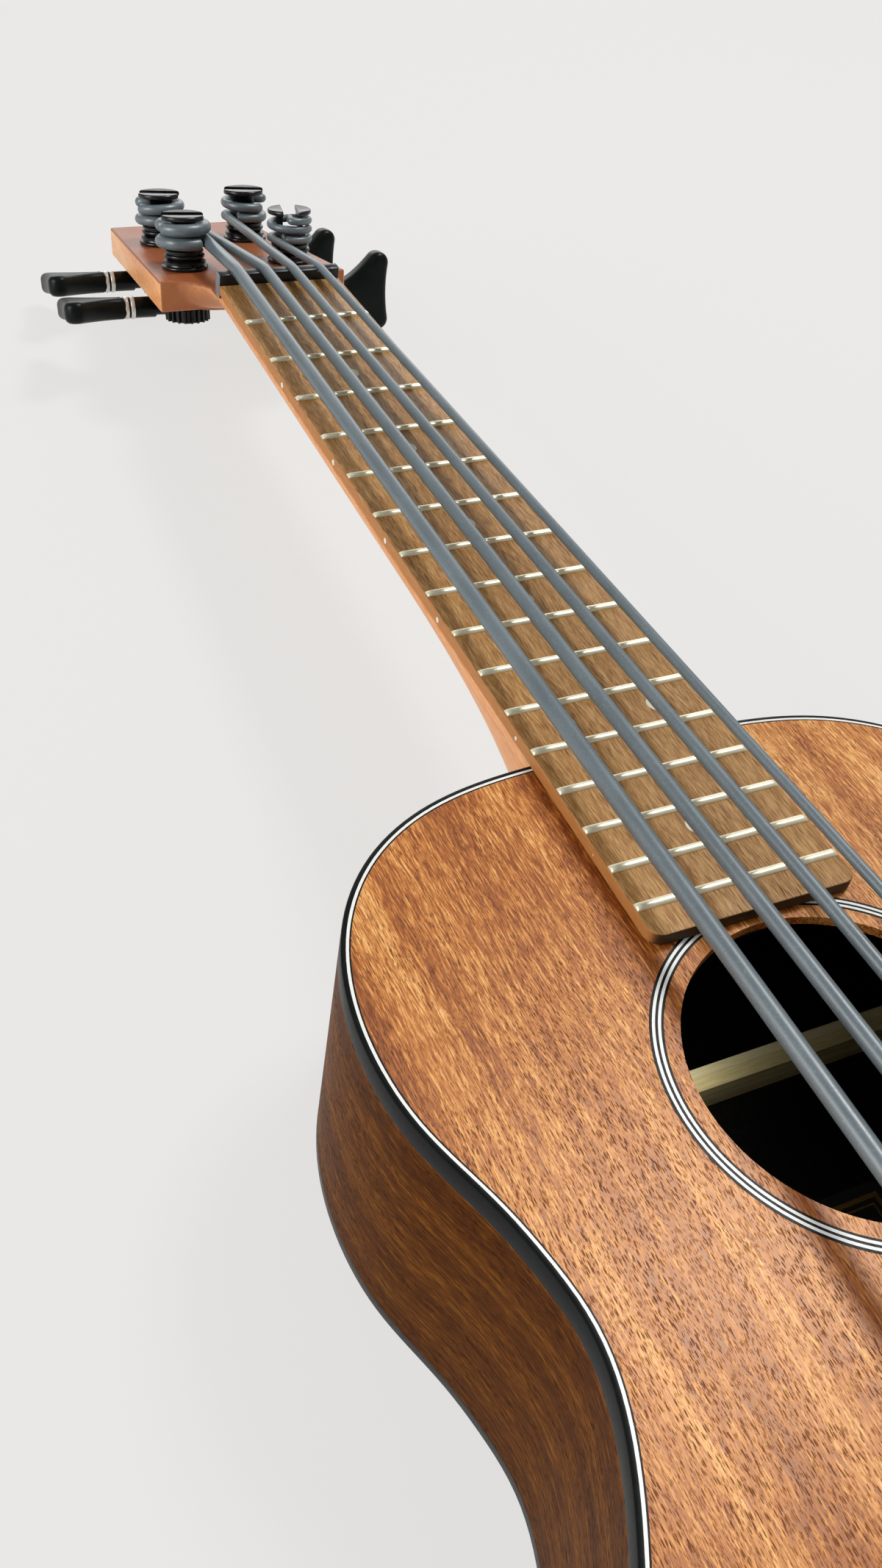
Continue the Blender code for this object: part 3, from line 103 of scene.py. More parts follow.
@dataclass(frozen=True)
class Layout:
    """Sizes that several sub-assemblies share."""

    scale_length: float = 0.530
    fret_count: int = 16
    string_radii: tuple[float, ...] = (0.00245, 0.00210, 0.00180, 0.00150)
    nut_spacing: float = 0.0111
    saddle_spacing: float = 0.0180
    nut_action: float = 0.0022
    saddle_action: float = 0.0118
    seat: float = 0.0003
    nut_width: float = 0.0476
    end_width: float = 0.0595
    board_length: float = 0.3290
    top_plane: float = -0.0041
    nut_thickness: float = 0.0050
    head_tilt: float = radians(12.5)
    head_drop: float = 0.0054
    body_start: float = 0.2647
    body_length: float = 0.3594
    body_depth: float = 0.0750
    back_slope: float = 0.046
    soundhole_station: float = 0.3707
    soundhole_radius: float = 0.0402
    post_front: tuple[float, float] = (0.0224, 0.0432)
    post_rear: tuple[float, float] = (0.0186, 0.0891)

    def fret_distance(self, number: int) -> float:
        """Distance from the nut to a fret of the equal-tempered scale."""
        return self.scale_length * (1.0 - 2.0 ** (-number / 12.0))

    def board_half_width(self, distance: float) -> float:
        """Half the fingerboard's width at a distance from the nut."""
        spread = self.end_width - self.nut_width
        return 0.5 * (self.nut_width + spread * distance / self.board_length)

    def back_plane(self, distance: float) -> float:
        """Height of the back's outer face at a distance from the nut."""
        return self.top_plane - self.body_depth - self.back_slope * (distance - self.body_start)

    def instrument(self) -> Matrix:
        """The instrument's frame, laid on its flat back with the body's middle at the origin.

        Returns:
            The frame's place in the solid model's frame.
        """
        tilt = Matrix.Rotation(-atan(self.back_slope), 4, "X")
        station = self.body_start + 0.5 * self.body_length
        rest = tilt @ Vector((0.0, -station, self.back_plane(station)))
        return Matrix.Translation(-rest) @ tilt

    def head(self) -> Matrix:
        """The headstock's frame inside the instrument's, on its face behind the nut."""
        return (Matrix.Translation((0.0, self.nut_thickness, -self.head_drop))
                @ Matrix.Rotation(-self.head_tilt, 4, "X"))

    def post_places(self) -> list[tuple[float, float]]:
        """Post centres in string order: bass front, bass rear, treble rear, treble front."""
        front, rear = self.post_front, self.post_rear
        return [(-front[0], front[1]), (-rear[0], rear[1]), rear, front]

    def nut_x(self, index: int) -> float:
        """Sideways place of a string at the nut."""
        return (index - 1.5) * self.nut_spacing

    def saddle_x(self, index: int) -> float:
        """Sideways place of a string at the saddle."""
        return (index - 1.5) * self.saddle_spacing


LAYOUT = Layout()
INSTRUMENT = LAYOUT.instrument()
HEAD = INSTRUMENT @ LAYOUT.head()


# Shaders

def operator(operation: str, swapped: bool = False) -> Callable[["Value", "Number"], "Value"]:
    """Make a method that adds one Math node.

    Args:
        operation: What the node does.
        swapped: True where the other number comes first.

    Returns:
        The method.
    """
    def method(self: "Value", other: "Number") -> "Value":
        """Work on this number and another."""
        return self.sum(operation, *((other, self) if swapped else (self, other)))
    return method


class Value:
    """A number that changes over a surface and can be used in sums."""

    __add__, __radd__ = operator("ADD"), operator("ADD", True)
    __sub__, __rsub__ = operator("SUBTRACT"), operator("SUBTRACT", True)
    __mul__, __rmul__ = operator("MULTIPLY"), operator("MULTIPLY", True)
    least, most = operator("MINIMUM"), operator("MAXIMUM")

    def __init__(self, graph: "Graph", socket: Socket) -> None:
        """Keep the socket that gives the number, and the graph that it is in."""
        self.graph = graph
        self.socket = socket

    def sum(self, operation: str, *terms: "Number") -> "Value":
        """Add one Math node that works on the terms."""
        made = self.graph.node("ShaderNodeMath", {"operation": operation}, dict(enumerate(terms)))
        return Value(self.graph, made.outputs[0])

    def size(self) -> "Value":
        """This without its sign."""
        return self.sum("ABSOLUTE", self)

    def rise(self, low: float, high: float) -> "Value":
        """A smooth step from 0 at low to 1 at high; it falls where high is the smaller.

        Args:
            low: Where the step gives 0.
            high: Where the step gives 1.

        Returns:
            The step as a value between 0 and 1.
        """
        made = self.graph.node("ShaderNodeMapRange", {"interpolation_type": "SMOOTHSTEP"},
                               {"Value": self, "From Min": low, "From Max": high})
        return Value(self.graph, made.outputs["Result"])


Number = Union[Value, float, int]


class Graph:
    """The node graph of one material."""

    def __init__(self, name: str) -> None:
        """Start a material with a plain Principled shader.

        Args:
            name: The material's name.
        """
        self.material = bpy.data.materials.new(name)
        self.material.use_nodes = True
        self.tree = self.material.node_tree
        self.shader = self.tree.nodes["Principled BSDF"]

    def node(self, kind: str, settings: Optional[dict] = None,
             inputs: Optional[dict] = None) -> bpy.types.Node:
        """Add one node.

        Args:
            kind: The node's type.
            settings: Its properties, which are set first; "stops" fills a colour ramp.
            inputs: Values, sockets or Value objects by socket name or number.

        Returns:
            The new node.
        """
        made = self.tree.nodes.new(kind)
        for key, value in (settings or {}).items():
            if key == "stops":
                self._fill_ramp(made, value)
            else:
                setattr(made, key, value)
        for key, value in (inputs or {}).items():
            if isinstance(value, Value):
                self.tree.links.new(value.socket, made.inputs[key])
            elif isinstance(value, Socket):
                self.tree.links.new(value, made.inputs[key])
            else:
                made.inputs[key].default_value = value
        return made

    @staticmethod
    def _fill_ramp(made: bpy.types.Node, stops: Sequence[tuple[float, Colour]]) -> None:
        """Give a colour ramp its stops.

        Args:
            made: The colour ramp's node.
            stops: Its (place, colour) pairs.
        """
        elements = made.color_ramp.elements
        for place, colour in stops[2:]:
            elements.new(place)
        for element, (place, colour) in zip(elements, stops):
            element.position = place
            element.color = colour

    def constants(self, **values: Union[float, Colour]) -> None:
        """Set the shader's own sockets, named with _ for a space."""
        for name, value in values.items():
            self.shader.inputs[name.replace("_", " ")].default_value = value

    def feed(self, name: str, what: Union[Value, Socket]) -> None:
        """Link something that changes over the surface to a socket of the shader."""
        socket = what.socket if isinstance(what, Value) else what
        self.tree.links.new(socket, self.shader.inputs[name])

    def place(self, grain: Grain = Grain.ALONG) -> Socket:
        """The point on the piece, turned so that the fibres run along Y.

        Args:
            grain: Which way the fibres run.

        Returns:
            A vector socket, in metres.
        """
        if grain is Grain.BENT:
            stored = self.node("ShaderNodeAttribute", {"attribute_name": BENT_PLACE})
            return stored.outputs["Vector"]
        point = self.node("ShaderNodeTexCoord").outputs["Object"]
        if grain is Grain.ALONG:
            return point
        x, y, z = self.split(point)
        return self.node("ShaderNodeCombineXYZ", None, {"X": y, "Y": x, "Z": z}).outputs[0]

    def facing(self) -> Socket:
        """The way that the surface faces."""
        return self.node("ShaderNodeNewGeometry").outputs["Normal"]

    def split(self, vector: Socket) -> tuple[Value, Value, Value]:
        """The three numbers of a vector."""
        made = self.node("ShaderNodeSeparateXYZ", None, {0: vector})
        return tuple(Value(self, socket) for socket in made.outputs)

    def scaled(self, vector: Socket, scale: Point) -> Socket:
        """A vector with each of its numbers multiplied.

        Args:
            vector: The vector.
            scale: What each of its numbers is multiplied by.

        Returns:
            The scaled vector's socket.
        """
        made = self.node("ShaderNodeVectorMath", {"operation": "MULTIPLY"},
                         {0: vector, 1: tuple(scale)})
        return made.outputs["Vector"]

    def wander(self, vector: Socket, reach: float) -> Socket:
        """Bend the fibres a little.

        Args:
            vector: The place, in metres.
            reach: How far a fibre strays.

        Returns:
            The place, shifted sideways.
        """
        sway = self.noise(vector, SWAY, 1.0) - 0.5
        ripple = self.noise(vector, RIPPLE, 1.0) - 0.5
        shift = self.node("ShaderNodeCombineXYZ", None,
                          {"X": 4.0 * reach * sway + 0.9 * reach * ripple}).outputs[0]
        made = self.node("ShaderNodeVectorMath", {"operation": "ADD"}, {0: vector, 1: shift})
        return made.outputs["Vector"]

    def noise(self, vector: Socket, scale: Point, detail: float = 2.0,
              rough: float = 0.5, twist: float = 0.0) -> Value:
        """Soft random noise.

        Args:
            vector: The place, in metres.
            scale: How many grains a metre it has along each axis.
            detail: How many finer layers it has.
            rough: How strong the finer layers are.
            twist: How much it is distorted.

        Returns:
            The noise, mostly between 0.3 and 0.7.
        """
        made = self.node("ShaderNodeTexNoise", {"noise_dimensions": "3D"},
                         {"Vector": self.scaled(vector, scale), "Scale": 1.0, "Detail": detail,
                          "Roughness": rough, "Distortion": twist})
        return Value(self, made.outputs["Fac"])

    def cells(self, vector: Socket, scale: Point) -> Value:
        """Distance to the nearest of many scattered points, for pores and specks.

        Args:
            vector: The place, in metres.
            scale: How many cells a metre it has along each axis.

        Returns:
            The distance, in shares of a cell.
        """
        made = self.node("ShaderNodeTexVoronoi", {"feature": "F1"},
                         {"Vector": self.scaled(vector, scale), "Scale": 1.0})
        return Value(self, made.outputs["Distance"])

    def ramp(self, factor: Value, stops: Sequence[tuple[float, Colour]]) -> Socket:
        """A colour that follows a value through its stops."""
        return self.node("ShaderNodeValToRGB", {"stops": stops}, {"Fac": factor}).outputs["Color"]

    def mix(self, factor: Number, one: Union[Colour, Socket],
            two: Union[Colour, Socket]) -> Socket:
        """Blend two colours, with the factor as the second one's share."""
        made = self.node("ShaderNodeMix", {"data_type": "RGBA"}, {0: factor, 6: one, 7: two})
        return made.outputs[2]

    def bump(self, height: Value, strength: float, distance: float) -> None:
        """Let a height tilt the surface.

        Args:
            height: The height, in shares of the distance.
            strength: How much of it shows.
            distance: The distance, in metres.
        """
        made = self.node("ShaderNodeBump", None,
                         {"Height": height, "Strength": strength, "Distance": distance})
        self.feed("Normal", made.outputs["Normal"])


# Grains a metre across, along and again across the fibres, for each feature of a wood.
SWAY, RIPPLE = (26.0, 15.0, 26.0), (90.0, 80.0, 90.0)
STRIPE, BAND = (70.0, 1.4, 70.0), (420.0, 4.0, 420.0)
FIBRE, FLECK = (2600.0, 150.0, 2600.0), (2000.0, 230.0, 2000.0)
PORE_CROWD = (130.0, 24.0, 130.0)
FIBRE_REACH = 0.0007
WOOD_RELIEF = 0.00015
FACE_DEPTH, FACE_SOFTNESS = 0.0011, 0.0005


@dataclass(frozen=True)
class WoodFinish:
    """Open-pored wood under a satin finish."""

    name: str
    dark: Colour
    middle: Colour
    light: Colour
    gold: Colour
    pore: Colour
    grain: Grain = Grain.ALONG
    stripe: float = 0.6
    band: float = 0.55
    fibre: float = 1.1
    fleck: float = 0.6
    pores: float = 1.0
    pore_width: float = 0.00048
    pore_length: float = 0.0028
    roughness: float = 0.42
    gloss: float = 0.45
    relief: float = 0.4
    red_face: float = 0.0
    # Painted shade: faces that point up, such as the inside of the back, can be turned near
    # black.
    painted_inside_shade: bool = False
    side_tint: Optional[Colour] = None
    # Painted shade: faces that point towards the tail end can be given this darker colour.
    painted_end_shade: Optional[Colour] = None
    sheen: Colour = (1.0, 1.0, 1.0, 1.0)

    def material(self) -> bpy.types.Material:
        """Build the material.

        Returns:
            The material.
        """
        graph = Graph(self.name)
        place = graph.wander(graph.place(self.grain), FIBRE_REACH)
        stripe = graph.noise(place, STRIPE, 2.0, 0.5)
        band = graph.noise(place, BAND, 3.0, 0.6)
        fibre = graph.noise(place, FIBRE, 2.0, 0.6)
        fleck = graph.noise(place, FLECK, 2.0, 0.6, 0.2)
        shade = (0.5 + self.stripe * (stripe - 0.5) + self.band * (band - 0.5)
                 + self.fibre * (fibre - 0.5) + self.fleck * (fleck - 0.5))
        colour = graph.ramp(shade, [(0.22, self.dark), (0.45, self.middle), (0.60, self.light),
                                    (0.80, self.gold)])
        pores = self._pores(graph, place)
        colour = graph.mix(0.85 * pores, colour, self.pore)
        if self.red_face > 0.0:
            colour = self._stain_face(graph, colour)
        across, along, upward = graph.split(graph.facing())
        if self.side_tint is not None:
            colour = graph.mix(0.75 * across.size().rise(0.4, 0.9), colour, self.side_tint)
        # Painted shade on faces that point towards the tail end.
        if self.painted_end_shade is not None:
            colour = graph.mix(0.9 * along.rise(-0.4, -0.9), colour, self.painted_end_shade)
        # Painted shade: faces that point up, the inside of the back, go near black.
        if self.painted_inside_shade:
            colour = graph.mix(upward.rise(0.3, 0.7), colour, tone("080605"))
        graph.feed("Base Color", colour)
        graph.feed("Roughness", self.roughness + 0.25 * pores + 0.20 * (fibre - 0.5))
        graph.bump(0.5 * fibre + 0.3 * fleck - pores, self.relief, WOOD_RELIEF)
        graph.constants(Specular_IOR_Level=self.gloss, Specular_Tint=self.sheen)
        return graph.material

    def _pores(self, graph: Graph, place: Socket) -> Value:
        """Short dark pores, crowded in some bands and rare in others.

        Args:
            graph: The material's graph.
            place: The place along the fibres.

        Returns:
            1 in a pore's middle and 0 between pores.
        """
        across, along = 1.0 / self.pore_width, 1.0 / self.pore_length
        large = graph.cells(place, (across, along, across)).rise(0.36, 0.16)
        small = graph.cells(place, (1.8 * across, 1.6 * along, 1.8 * across)).rise(0.34, 0.14)
        crowd = graph.noise(place, PORE_CROWD, 2.0, 0.6).rise(0.38, 0.60)
        return (large * (0.25 + 0.75 * crowd) + 0.6 * small).least(1.0) * self.pores

    def _stain_face(self, graph: Graph, colour: Socket) -> Socket:
        """Deepen the colour on the headstock's face only.

        Args:
            graph: The material's graph.
            colour: The wood's colour.

        Returns:
            The colour with the stain on it.
        """
        x, y, z = graph.split(graph.node("ShaderNodeTexCoord").outputs["Object"])
        start, up = HEAD.translation, HEAD.to_3x3() @ Vector((0.0, 0.0, 1.0))
        lift = up.y * (y - start.y) + up.z * (z - start.z)
        on_face = (lift.rise(-FACE_DEPTH, FACE_SOFTNESS - FACE_DEPTH)
                   * y.rise(start.y + FACE_SOFTNESS, start.y + 3.0 * FACE_SOFTNESS))
        return graph.mix(self.red_face * on_face, colour, tone("7a2f14"))


@dataclass(frozen=True)
class MetalFinish:
    """Bare or coated metal with fine wear."""

    name: str
    colour: Colour
    worn: Colour
    metallic: float = 1.0
    roughness: float = 0.3
    grainy: float = 0.12
    gloss: float = 0.5

    def material(self) -> bpy.types.Material:
        """Build the material.

        Returns:
            The material.
        """
        graph = Graph(self.name)
        place = graph.place()
        cloud = graph.noise(place, (260.0, 260.0, 260.0), 3.0)
        fine = graph.noise(place, (5200.0, 5200.0, 5200.0), 2.0)
        scratch = graph.noise(place, (300.0, 6000.0, 6000.0), 1.0).rise(0.58, 0.72)
        graph.feed("Base Color", graph.mix(cloud.rise(0.42, 0.72) * 0.6 + 0.25 * scratch,
                                           self.colour, self.worn))
        graph.feed("Roughness", self.roughness + self.grainy * (cloud - 0.5)
                   + 0.5 * self.grainy * (fine - 0.5) + 0.08 * scratch)
        graph.bump(fine + 0.3 * scratch, 0.12, 0.00005)
        graph.constants(Metallic=self.metallic, Specular_IOR_Level=self.gloss)
        return graph.material


@dataclass(frozen=True)
class RubberFinish:
    """Thick, slightly dusty rubber string."""

    name: str
    colour: Colour
    dusty: Colour
    roughness: float = 0.38

    def material(self) -> bpy.types.Material:
        """Build the material.

        Returns:
            The material.
        """
        graph = Graph(self.name)
        place = graph.place()
        cloud = graph.noise(place, (160.0, 45.0, 160.0), 3.0)
        dust = graph.noise(place, (1900.0, 1900.0, 1900.0), 3.0, 0.6).rise(0.52, 0.76)
        drawn = graph.noise(place, (2600.0, 90.0, 2600.0), 2.0)
        graph.feed("Base Color", graph.mix(0.35 * cloud + 0.3 * dust, self.colour, self.dusty))
        graph.feed("Roughness", self.roughness + 0.18 * (cloud - 0.5) + 0.14 * dust)
        graph.bump(drawn + 0.4 * dust, 0.16, 0.00008)
        graph.constants(Specular_IOR_Level=0.9)
        return graph.material


@dataclass(frozen=True)
class PlasticFinish:
    """Moulded or cut plastic, bone-like or black."""

    name: str
    colour: Colour
    cloudy: Colour
    roughness: float = 0.3
    gloss: float = 0.5
    # Painted highlight: faces that point sideways, such as the nut's ends, can be given this
    # lighter colour.
    painted_end_light: Optional[Colour] = None

    def material(self) -> bpy.types.Material:
        """Build the material.

        Returns:
            The material.
        """
        graph = Graph(self.name)
        place = graph.place()
        cloud = graph.noise(place, (190.0, 70.0, 190.0), 3.0)
        scuff = graph.noise(place, (2400.0, 300.0, 2400.0), 3.0, 0.6).rise(0.50, 0.74)
        colour = graph.mix(0.6 * cloud + 0.25 * scuff, self.colour, self.cloudy)
        # Painted highlight on faces that point sideways.
        if self.painted_end_light is not None:
            across = graph.split(graph.facing())[0]
            colour = graph.mix(across.size().rise(0.75, 0.92), colour, self.painted_end_light)
        graph.feed("Base Color", colour)
        graph.feed("Roughness", self.roughness + 0.12 * (cloud - 0.5) + 0.12 * scuff)
        graph.bump(scuff + 0.5 * cloud, 0.10, 0.00005)
        graph.constants(Specular_IOR_Level=self.gloss)
        return graph.material


@dataclass(frozen=True)
class LabelFinish:
    """A plain black paper label with thin gold border lines and no words."""

    name: str
    paper: Colour
    ink: Colour
    centre: tuple[float, float]
    half: tuple[float, float]

    def material(self) -> bpy.types.Material:
        """Build the material.

        Returns:
            The material.
        """
        graph = Graph(self.name)
        x, y, _ = graph.split(graph.place())
        edge_x = self.half[0] - (x - self.centre[0]).size()
        edge_y = self.half[1] - (y - self.centre[1]).size()
        edge = edge_x.least(edge_y)
        thick = edge.rise(0.0030, 0.0032) * edge.rise(0.0044, 0.0042)
        thin = edge.rise(0.0056, 0.0057) * edge.rise(0.0062, 0.0061)
        fibre = graph.noise(graph.place(), (900.0, 900.0, 900.0), 3.0)
        lines = (thick + thin).least(1.0) * fibre.rise(0.25, 0.40)
        paper = graph.mix(fibre.rise(0.3, 0.7), self.paper, tone("1a1816"))
        graph.feed("Base Color", graph.mix(lines, paper, self.ink))
        graph.feed("Roughness", 0.7 - 0.35 * lines + 0.1 * (fibre - 0.5))
        graph.feed("Metallic", 0.6 * lines)
        graph.bump(fibre, 0.2, 0.00006)
        return graph.material


@dataclass(frozen=True)
class FloorFinish:
    """The pale studio floor: even to the camera, but still taking a faint shadow."""

    name: str
    colour: Colour
    even: float = 0.86

    def material(self) -> bpy.types.Material:
        """Build the material.

        Returns:
            The material.
        """
        graph = Graph(self.name)
        graph.constants(Base_Color=self.colour, Roughness=0.9, Specular_IOR_Level=0.1)
        ray = graph.node("ShaderNodeLightPath").outputs
        seen = Value(graph, ray["Is Camera Ray"]).most(Value(graph, ray["Is Glossy Ray"]))
        glow = graph.node("ShaderNodeEmission", None, {"Color": self.colour, "Strength": 1.0})
        blend = graph.node("ShaderNodeMixShader", None, {0: seen * self.even})
        graph.tree.links.new(graph.shader.outputs[0], blend.inputs[1])
        graph.tree.links.new(glow.outputs[0], blend.inputs[2])
        graph.tree.links.new(blend.outputs[0], graph.tree.nodes["Material Output"].inputs[0])
        return graph.material


Finish = Union[WoodFinish, MetalFinish, RubberFinish, PlasticFinish, LabelFinish, FloorFinish]

TOP_WOOD = WoodFinish(
    "satin_mahogany_top", *tones("76360e a65c22 ca833e eeb46e 461e08"), stripe=0.85,
    roughness=0.36, gloss=0.62, sheen=tone("ffe0c2"))
SIDE_WOOD = WoodFinish(
    "satin_mahogany_side", *tones("321401 4c2603 683a0a 8e5c20 220d01"), Grain.BENT, stripe=0.5,
    band=0.4, fibre=0.9, fleck=0.5, gloss=0.02, sheen=tone("ffbe78"))
# The inside face of the back is painted near black: painted shade.
BACK_WOOD = WoodFinish(
    "satin_mahogany_back", *tones("482410 704020 8e5c34 ac7a4c 2e160c"), gloss=0.2,
    painted_inside_shade=True)
# The neck's faces that point towards the body, such as the headstock's front wall, are darkened
# by painted shade.
NECK_WOOD = WoodFinish(
    "neck_mahogany", *tones("c47c46 dc985e eaae76 f2c08c a86034"), stripe=0.5, band=0.4,
    fibre=0.6, fleck=0.3, pores=0.3, roughness=0.40, relief=0.15, red_face=0.8,
    painted_end_shade=tone("9c5c34"))
# The board's end face is darkened by painted shade.
BOARD_WOOD = WoodFinish(
    "oiled_walnut", *tones("764e26 a07442 ba905c cca670 4c2e14"), stripe=0.25, band=0.35,
    fibre=0.8, fleck=0.3, pores=0.9, pore_length=0.0090, roughness=0.46, gloss=0.2,
    side_tint=tone("b0723c"), painted_end_shade=tone("26180f"))
BRIDGE_WOOD = WoodFinish(
    "bridge_walnut", *tones("54341c 805832 a07648 b8905e 3a2414"), Grain.ACROSS, stripe=0.7,
    band=0.7, fibre=0.8, fleck=0.3, pores=0.9, pore_length=0.0090, roughness=0.46, gloss=0.2)
BARE_WOOD = WoodFinish(
    "bare_spruce", *tones("c4b276 dccc92 ecdeaa f4e8bc b29e68"), Grain.ACROSS, stripe=0.8,
    band=0.8, fibre=0.4, fleck=0.2, pores=0.1, roughness=0.6, gloss=0.2, relief=0.2)
# Near-black wood for the hidden blocks, linings and braces: painted shade inside the body.
PAINTED_SHADE_WOOD = WoodFinish(
    "shaded_block", *tones("100b08 16100b 1c150f 241c14 0c0806"), fibre=0.5, fleck=0.3,
    pores=0.2, roughness=0.7, gloss=0.1, relief=0.2)
BLACK_METAL = MetalFinish("satin_black_metal", *tones("090a0c 181a1d"), 0.2, 0.26, gloss=0.55)
BLACK_KEY = MetalFinish("satin_black_key", *tones("070d0c 101615"), 0.0, 0.34, gloss=0.16)
BRIGHT_METAL = MetalFinish("bright_washer", *tones("e2e0d8 ceccc6"), 0.5, 0.38)
FRET_METAL = MetalFinish("polished_fret_wire", *tones("f6f0d4 e8e0c0"), 0.55, 0.36)
STRING_RUBBER = RubberFinish("rubber_string_grey", *tones("485459 8a979c"))
BINDING_BLACK = PlasticFinish("binding_black", *tones("0a0c0c 141717"), 0.36, 0.12)
INLAY_WHITE = PlasticFinish("inlay_white", *tones("ecece8 deddd6"), 0.35)
# The nut's lighter grey ends are a painted highlight.
NUT_BLACK = PlasticFinish("nut_black", *tones("121416 24272a"), 0.34, 0.4, tone("6e7276"))
DOT_PEARL = PlasticFinish("dot_pearl", *tones("e2decc c8c4b0"), 0.25)
SADDLE_BONE = PlasticFinish("saddle_bone", *tones("e2dcca cec6ae"), 0.35)


# Meshes

def polar(radius: float, angle: float) -> tuple[float, float]:
    """The point at a radius and an angle."""
    return radius * cos(angle), radius * sin(angle)


def round_angles(steps: int) -> list[float]:
    """The angles of evenly spaced points all the way round."""
    return [FULL_TURN * i / steps for i in range(steps)]


def arc_angles(steps: int, turn: float = pi) -> list[float]:
    """The angles of evenly spaced points from one end of a turn to the other."""
    return [turn * i / steps for i in range(steps + 1)]


def linked(name: str, data: bpy.types.ID) -> bpy.types.Object:
    """Make an object that shows some data, and link it to the scene.

    Args:
        name: The object's name.
        data: Its mesh, curve, lamp or lens.

    Returns:
        The object.
    """
    made = bpy.data.objects.new(name, data)
    bpy.context.scene.collection.objects.link(made)
    return made


def mesh_of(model: bmesh.types.BMesh, move: Optional[Matrix] = None) -> Mesh:
    """Turn a bmesh into mesh data, moved and with its faces pointing out.

    Args:
        model: The bmesh, which is used up.
        move: Where the shape goes.

    Returns:
        The mesh.
    """
    if move is not None:
        bmesh.ops.transform(model, matrix=move, verts=model.verts)
    bmesh.ops.recalc_face_normals(model, faces=model.faces)
    mesh = bpy.data.meshes.new("mesh")
    model.to_mesh(mesh)
    model.free()
    return mesh


def loft(rings: Sequence[Sequence[Point]], move: Matrix = INSTRUMENT,
         looped: bool = False) -> Mesh:
    """Join rings with equal numbers of points.

    Args:
        rings: The rings, each a list of points.
        move: Where the shape goes.
        looped: True to join the last ring to the first, False to close both ends.

    Returns:
        The mesh.
    """
    model = bmesh.new()
    loops = [[model.verts.new(point) for point in ring] for ring in rings]
    count = len(loops[0])
    pairs = list(zip(loops, loops[1:])) + ([(loops[-1], loops[0])] if looped else [])
    for one, two in pairs:
        for i in range(count):
            j = (i + 1) % count
            model.faces.new((one[i], one[j], two[j], two[i]))
    if not looped:
        model.faces.new(loops[0])
        model.faces.new(loops[-1])
    return mesh_of(model, move)


def turned(profile: Sequence[tuple[float, float]], move: Matrix, steps: int = 48,
           looped: bool = False) -> Mesh:
    """Turn a profile about Z.

    Args:
        profile: The profile's (radius, height) points.
        move: Where the shape goes.
        steps: How many sides it has.
        looped: True to join the profile's ends, False to close them with flat faces.

    Returns:
        The mesh.
    """
    rings = [[(*polar(radius, angle), height) for angle in round_angles(steps)]
             for radius, height in profile]
    return loft(rings, move, looped)


def slab(outline: Iterable[Point], bottom: float, top: float, move: Matrix, edge: float = 0.0,
         edge_steps: int = 2, holes: Sequence[Iterable[Point]] = ()) -> Mesh:
    """A flat outline with a thickness, with rounded edges and through holes.

    Args:
        outline: The outer outline's (x, y) points.
        bottom: Lower height.
        top: Upper height.
        move: Where the shape goes.
        edge: Radius of the rounded edges.
        edge_steps: How finely they are rounded.
        holes: Outlines of through holes.

    Returns:
        The mesh.
    """
    curve = bpy.data.curves.new("outline", "CURVE")
    curve.dimensions = "2D"
    curve.fill_mode = "BOTH"
    curve.extrude = 0.5 * (top - bottom) - edge
    curve.bevel_depth = edge
    curve.bevel_resolution = edge_steps
    curve.offset = -edge
    for loop in (outline, *holes):
        points = list(loop)
        spline = curve.splines.new("POLY")
        spline.points.add(len(points) - 1)
        for target, point in zip(spline.points, points):
            target.co = (point[0], point[1], 0.0, 1.0)
        spline.use_cyclic_u = True
    raw = shown_mesh(linked("outline", curve))
    bpy.data.curves.remove(curve)
    model = bmesh.new()
    model.from_mesh(raw)
    bpy.data.meshes.remove(raw)
    bmesh.ops.remove_doubles(model, verts=model.verts, dist=0.1 * WELD_REACH)
    return mesh_of(model, move @ Matrix.Translation((0.0, 0.0, 0.5 * (top + bottom))))


def shown_mesh(holder: bpy.types.Object) -> Mesh:
    """Take the mesh that an object shows, and remove the object.

    Args:
        holder: The object, which is removed.

    Returns:
        Its mesh, with its modifiers worked in.
    """
    bpy.context.view_layer.update()
    graph = bpy.context.evaluated_depsgraph_get()
    mesh = bpy.data.meshes.new_from_object(holder.evaluated_get(graph))
    bpy.data.objects.remove(holder, do_unlink=True)
    return mesh


def combined(one: Mesh, tool: Mesh, operation: str) -> Mesh:
    """Join or cut one mesh with another.

    Args:
        one: The mesh to work on.
        tool: The mesh that is joined to it or cut from it.
        operation: UNION or DIFFERENCE.

    Returns:
        The new mesh.
    """
    holder, other = linked("holder", one), linked("tool", tool)
    change = holder.modifiers.new("combine", "BOOLEAN")
    change.object = other
    change.operation = operation
    change.solver = "EXACT"
    mesh = shown_mesh(holder)
    bpy.data.objects.remove(other, do_unlink=True)
    return mesh


def ease_edges(piece: bpy.types.Object, width: float, angle: float = 35.0,
               steps: int = 2) -> bpy.types.Modifier:
    """Round off the sharp edges of an object.

    Args:
        piece: The object.
        width: Width of the rounding.
        angle: The edges' least angle, in degrees.
        steps: How finely they are rounded.

    Returns:
        The modifier that does it.
    """
    change = piece.modifiers.new("edges", "BEVEL")
    change.width = width
    change.segments = steps
    change.limit_method = "ANGLE"
    change.angle_limit = radians(angle)
    return change


def eased(mesh: Mesh, width: float, angle: float, steps: int) -> Mesh:
    """Round off a mesh's sharp edges.

    Args:
        mesh: The mesh.
        width: Width of the rounding.
        angle: The edges' least angle, in degrees.
        steps: How finely they are rounded.

    Returns:
        The new mesh.
    """
    holder = linked("holder", mesh)
    ease_edges(holder, width, angle, steps).use_clamp_overlap = False
    return shown_mesh(holder)


